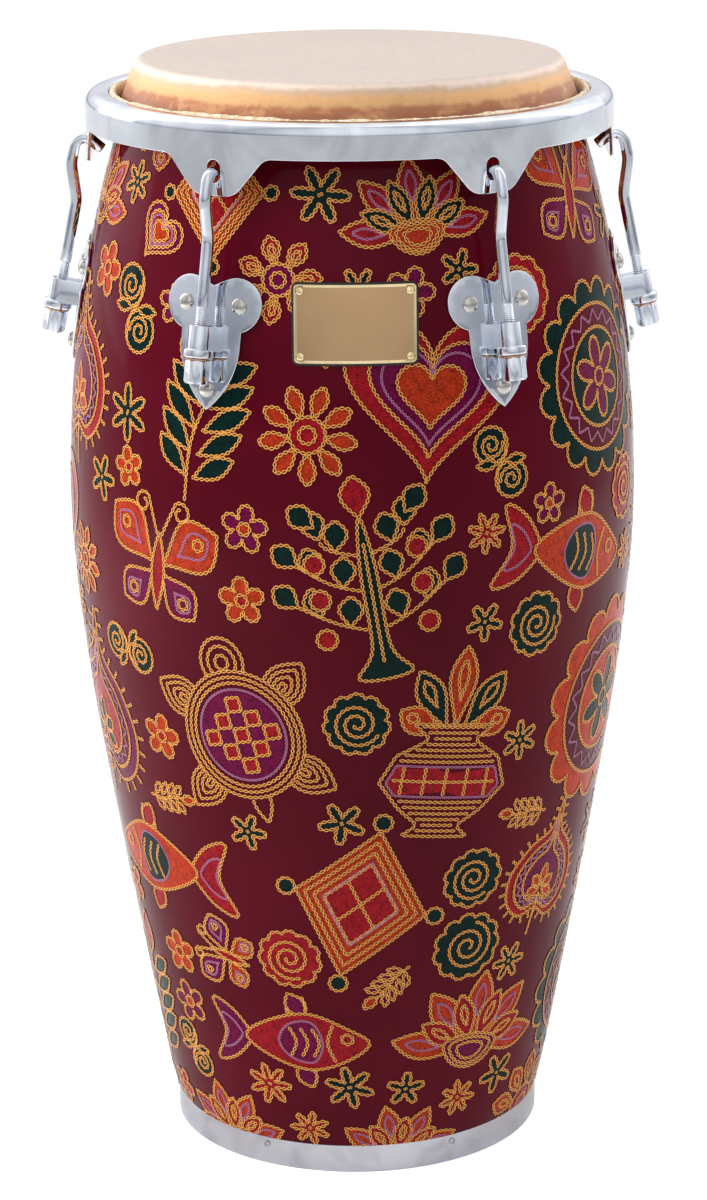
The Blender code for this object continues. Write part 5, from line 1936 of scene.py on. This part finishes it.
def make_badge(materials):
    """A gasket, and a plate with a raised bevelled border round a plain satin field."""
    gasket_top = GAP + GASKET_THICKNESS
    place = pressed_on_shell(FRONT, BADGE_CENTRE, gasket_top)
    outline = refine(rounded_rectangle(
        BADGE_WIDTH + 2 * GASKET_MARGIN, BADGE_HEIGHT + 2 * GASKET_MARGIN, BADGE_CORNER + GASKET_MARGIN
    ), SHEET_STEP)
    points, faces = rounded_sheet(outline, BADGE_STEP, 0.0002, GASKET_THICKNESS, place)
    sheet = welded(points, faces, "gasket")
    gasket = place_mesh("black_gasket", sheet, materials["rubber"], BODY_OF_SHELL, sharp=40)
    stands_for("badge_gasket")
    outline = refine(rounded_rectangle(BADGE_WIDTH, BADGE_HEIGHT, BADGE_CORNER), SHEET_STEP)
    place = pressed_on_shell(FRONT, BADGE_CENTRE, gasket_top + GAP)
    points = [
        place(inset(outline, distance), np.full(len(outline), lift)) for distance, lift in BADGE_BORDER
    ]
    border = welded(np.concatenate(points), bands(len(points), len(outline)), "badge_border")
    flat, cover = filled([inset(outline, BADGE_BORDER[-1][0])], BADGE_STEP)
    level = np.full(len(flat), BADGE_BORDER[-1][1])
    field = welded(place(flat, level), [tuple(face) for face in cover], "badge_field")
    for name, mesh, finish in (("badge_border", border, "border"), ("badge_field", field, "badge")):
        plate = place_mesh(name, mesh, materials[finish], BODY_OF_SHELL, sharp=45)
        stands_for("badge_plate")


def finish_inner_parts(materials):
    """The steel pieces that keep their solids: the hoop in the skin and the plates inside the shell."""
    for name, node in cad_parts.items():
        if name == "flesh_hoop" or name.startswith("backing_plate"):
            node.data.materials.clear()
            node.data.materials.append(materials["steel"])


# Stage

CAMERA_PITCH = 0.27496
CAMERA_ROLL = -0.0077
CAMERA_SHIFT = 0.0001
LIT_MIDDLE = (0, 0, 0.4)
RIGHT_LAMP_SHARE = 0.6
FLOOR_REACH = 9.0


def make_stage(settings):
    scene = bpy.context.scene
    scene.view_settings.view_transform = "Standard"
    camera_data = bpy.data.cameras.new("photo_camera")
    camera_data.lens = settings.lens
    camera_data.sensor_width = 36
    camera = linked("photo_camera", camera_data)
    forward = Vector((0, math.cos(CAMERA_PITCH), -math.sin(CAMERA_PITCH)))
    up = Vector((0, math.sin(CAMERA_PITCH), math.cos(CAMERA_PITCH)))
    right = Vector((1, 0, 0))
    facing = Matrix((right, up, -forward)).transposed() @ Matrix.Rotation(CAMERA_ROLL, 3, "Z")
    spot = (CAMERA_SHIFT, -settings.distance, settings.camera_height)
    placed = Matrix.Translation(spot) @ facing.to_4x4()
    camera.matrix_world = Matrix.Rotation(-settings.orbit, 4, "Z") @ placed
    scene.camera = camera
    make_floor(settings)
    make_room(settings)
    add_lamp("left_softbox", (-1.75, -0.3, 1.05), (1.0, 1.8), settings.side_lamps)
    add_lamp("right_softbox", (1.85, 0.3, 1.05), (0.8, 1.8), settings.side_lamps * RIGHT_LAMP_SHARE)
    add_lamp("top_softbox", (-0.3, -0.9, 2.6), (1.6, 1.2), settings.top_lamp)


def add_lamp(name, place, size, power):
    """A softbox that faces the middle of the drum and isn't seen in the metal."""
    data = bpy.data.lights.new(name, "AREA")
    data.shape = "RECTANGLE"
    data.size, data.size_y = size
    data.energy = power
    lamp = linked(name, data)
    lamp.visible_glossy = False
    lamp.location = place
    lamp.rotation_euler = (Vector(LIT_MIDDLE) - Vector(place)).to_track_quat("-Z", "Y").to_euler()


def make_floor(settings):
    """A wide pale floor that keeps the drum's shadow, and shows as white further out."""
    mesh = bpy.data.meshes.new("floor")
    corners = [(x * FLOOR_REACH, y * FLOOR_REACH, 0) for x, y in ((-1, -1), (1, -1), (1, 1), (-1, 1))]
    mesh.from_pydata(corners, [], [(0, 1, 2, 3)])
    material = new_material(
        "pale_floor", settings.floor, 0.9, Specular_IOR_Level=0.0, Emission_Color=(1, 1, 1, 1)
    )
    nodes = Nodes(material)
    path = nodes.add("ShaderNodeLightPath").outputs
    place = nodes.place()
    distance = nodes.add("ShaderNodeVectorMath", {0: place}, operation="LENGTH").outputs["Value"]
    behind = nodes.add("ShaderNodeSeparateXYZ", {0: place}).outputs["Y"]
    further = nodes.spread(distance, 0.22, 0.2, 0.8, 2.6)
    glow = nodes.maths("MAXIMUM", further, nodes.spread(behind, 0.2, 0.75, 0.1, 1.8))
    in_metal = nodes.maths("MULTIPLY", path["Is Glossy Ray"], glow)
    shown = nodes.maths("MAXIMUM", path["Is Camera Ray"], in_metal)
    nodes.set("Emission Strength", nodes.maths("MULTIPLY", shown, settings.floor_glow))
    mesh.materials.append(material)
    linked("floor", mesh)


# What the metal shows of the room, from below to above
ROOM_BY_HEIGHT = (
    (0.0, (0.62, 0.64, 0.67)), (0.47, (0.66, 0.68, 0.72)), (0.495, (0.42, 0.44, 0.48)),
    (0.51, (0.5, 0.52, 0.56)), (0.53, (0.72, 0.73, 0.77)), (0.59, (0.84, 0.85, 0.88)),
    (0.63, (1.06, 1.06, 1.08)), (0.8, (1.16, 1.16, 1.16)),
)
# And round the drum, from behind past its left, the camera and its right
ROOM_ROUND = (
    (0.0, (1.0, 1.0, 1.0)), (0.10, (1.2, 1.18, 1.2)), (0.12, (2.5, 2.4, 2.5)), (0.198, (2.5, 2.4, 2.5)),
    (0.206, (1.0, 1.0, 1.0)), (0.30, (0.82, 0.82, 0.83)), (0.36, (0.47, 0.485, 0.51)),
    (0.44, (0.84, 0.84, 0.84)), (0.5, (1.0, 1.0, 1.0)), (0.58, (0.84, 0.84, 0.84)),
    (0.65, (0.50, 0.515, 0.54)), (0.76, (0.86, 0.86, 0.86)), (0.80, (0.95, 0.95, 0.95)),
    (0.81, (1.6, 1.56, 1.6)), (0.89, (1.6, 1.56, 1.6)), (0.91, (1.1, 1.1, 1.1)), (1.0, (1.0, 1.0, 1.0)),
)


def make_room(settings):
    """Even light on the drum, and a pale room with soft bright sides for the camera and for metal."""
    world = bpy.data.worlds.new("room")
    bpy.context.scene.world = world
    world.use_nodes = True
    world.node_tree.nodes.clear()
    nodes = Nodes(world)
    path = nodes.add("ShaderNodeLightPath").outputs
    place = nodes.add("ShaderNodeTexCoord").outputs["Generated"]
    corner = nodes.add("ShaderNodeSeparateXYZ", {0: place}).outputs
    by_height = nodes.ramp(nodes.spread(corner["Z"], 0, 1, -1, 1), ROOM_BY_HEIGHT)
    around = nodes.maths("ARCTAN2", corner["X"], nodes.maths("MULTIPLY", corner["Y"], -1.0))
    by_turn = nodes.ramp(nodes.spread(around, 0, 1, -math.pi, math.pi), ROOM_ROUND)
    glossy = nodes.mix(1.0, by_height, by_turn, "MULTIPLY")
    white = nodes.maths("MAXIMUM", path["Is Camera Ray"], path["Is Transmission Ray"])
    lit = nodes.mix(path["Is Glossy Ray"], (settings.room,) * 3 + (1,), glossy)
    shown = nodes.mix(white, lit, (1, 1, 1, 1))
    background = nodes.add("ShaderNodeBackground", {"Color": shown, "Strength": 1.0}).outputs[0]
    nodes.add("ShaderNodeOutputWorld", {"Surface": background})


# Operators and panel

shared_materials = {}


def metal_materials(settings):
    """The metals and rubber, made once and shared by like pieces."""
    if not shared_materials:
        shared_materials.update({
            "chrome": polished("polished_chrome", settings.chrome, settings.polish),
            "steel": polished("satin_steel", settings.steel, 0.28),
            "nickel": polished("nickel_plate", settings.nickel, 0.16),
            "copper": polished("coppery_washer", (0.55, 0.33, 0.20), 0.2),
            # The screws take the border's brass made 1.2 times as light: a painted highlight on their heads.
            "brass": polished("brass_screws", shades(settings.border, 1.2)[0], 0.14),
            "border": polished("polished_brass", settings.border, 0.1),
            "badge": satin_brass(settings.brass),
            "ring": polished("plated_ring", settings.steel, 0.2),
            "rubber": black_rubber(),
        })
    return shared_materials


class CONGA_OT_shell(bpy.types.Operator):
    """Build the printed shell with its stitched figures"""

    bl_idname = "conga.shell"
    bl_label = "Printed Shell"

    def execute(self, context):
        settings = context.scene.conga_print
        make_shell(settings)
        make_print(settings)
        return {"FINISHED"}


class CONGA_OT_head(bpy.types.Operator):
    """Build the skin with its tucked and cut edge"""

    bl_idname = "conga.head"
    bl_label = "Natural Skin"

    def execute(self, context):
        make_skin(context.scene.conga_head)
        make_cut_edge(context.scene.conga_head)
        return {"FINISHED"}


class CONGA_OT_rim(bpy.types.Operator):
    """Build the chromed rim with its ears"""

    bl_idname = "conga.rim"
    bl_label = "Chromed Rim"

    def execute(self, context):
        make_rim(metal_materials(context.scene.conga_metal))
        return {"FINISHED"}


class CONGA_OT_tuning(bpy.types.Operator):
    """Build the lugs, bolts, tuning rods and nuts"""

    bl_idname = "conga.tuning"
    bl_label = "Tuning Hardware"

    def execute(self, context):
        materials = metal_materials(context.scene.conga_metal)
        make_lugs(materials)
        make_bolts(materials)
        make_rods(materials)
        make_nuts(materials)
        finish_inner_parts(materials)
        return {"FINISHED"}


class CONGA_OT_foot(bpy.types.Operator):
    """Build the bottom ring and the small screws"""

    bl_idname = "conga.foot"
    bl_label = "Bottom Ring and Screws"

    def execute(self, context):
        materials = metal_materials(context.scene.conga_metal)
        make_ring(materials)
        make_small_screws(materials)
        return {"FINISHED"}


class CONGA_OT_badge(bpy.types.Operator):
    """Build the plain badge on its gasket"""

    bl_idname = "conga.badge"
    bl_label = "Plain Badge"

    def execute(self, context):
        make_badge(metal_materials(context.scene.conga_metal))
        return {"FINISHED"}


class CONGA_OT_stage(bpy.types.Operator):
    """Build the floor, lamps, room and camera"""

    bl_idname = "conga.stage"
    bl_label = "Studio Stage"

    def execute(self, context):
        make_stage(context.scene.conga_stage)
        return {"FINISHED"}


SETTINGS = {
    "conga_print": CongaPrintSettings,
    "conga_head": CongaHeadSettings,
    "conga_metal": CongaMetalSettings,
    "conga_stage": CongaStageSettings,
}
OPERATORS = (
    CONGA_OT_shell, CONGA_OT_head, CONGA_OT_rim, CONGA_OT_tuning, CONGA_OT_foot, CONGA_OT_badge,
    CONGA_OT_stage,
)


class CONGA_PT_panel(bpy.types.Panel):
    """Lists the drum's pieces and their settings"""

    bl_label = "Conga"
    bl_space_type = "VIEW_3D"
    bl_region_type = "UI"
    bl_category = "Conga"

    def draw(self, context):
        for operator in OPERATORS:
            self.layout.operator(operator.bl_idname)
        for name, group in SETTINGS.items():
            box = self.layout.box()
            for setting in group.__annotations__:
                box.prop(getattr(context.scene, name), setting)


CLASSES = (*SETTINGS.values(), *OPERATORS, CONGA_PT_panel)


def register():
    for made in CLASSES:
        bpy.utils.register_class(made)
    for name, group in SETTINGS.items():
        setattr(bpy.types.Scene, name, bpy.props.PointerProperty(type=group))


def unregister():
    for name in SETTINGS:
        delattr(bpy.types.Scene, name)
    for made in reversed(CLASSES):
        bpy.utils.unregister_class(made)


def main():
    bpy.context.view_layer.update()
    register()
    for operator in OPERATORS:
        space, name = operator.bl_idname.split(".")
        getattr(getattr(bpy.ops, space), name)()


if __name__ == "__main__":
    main()
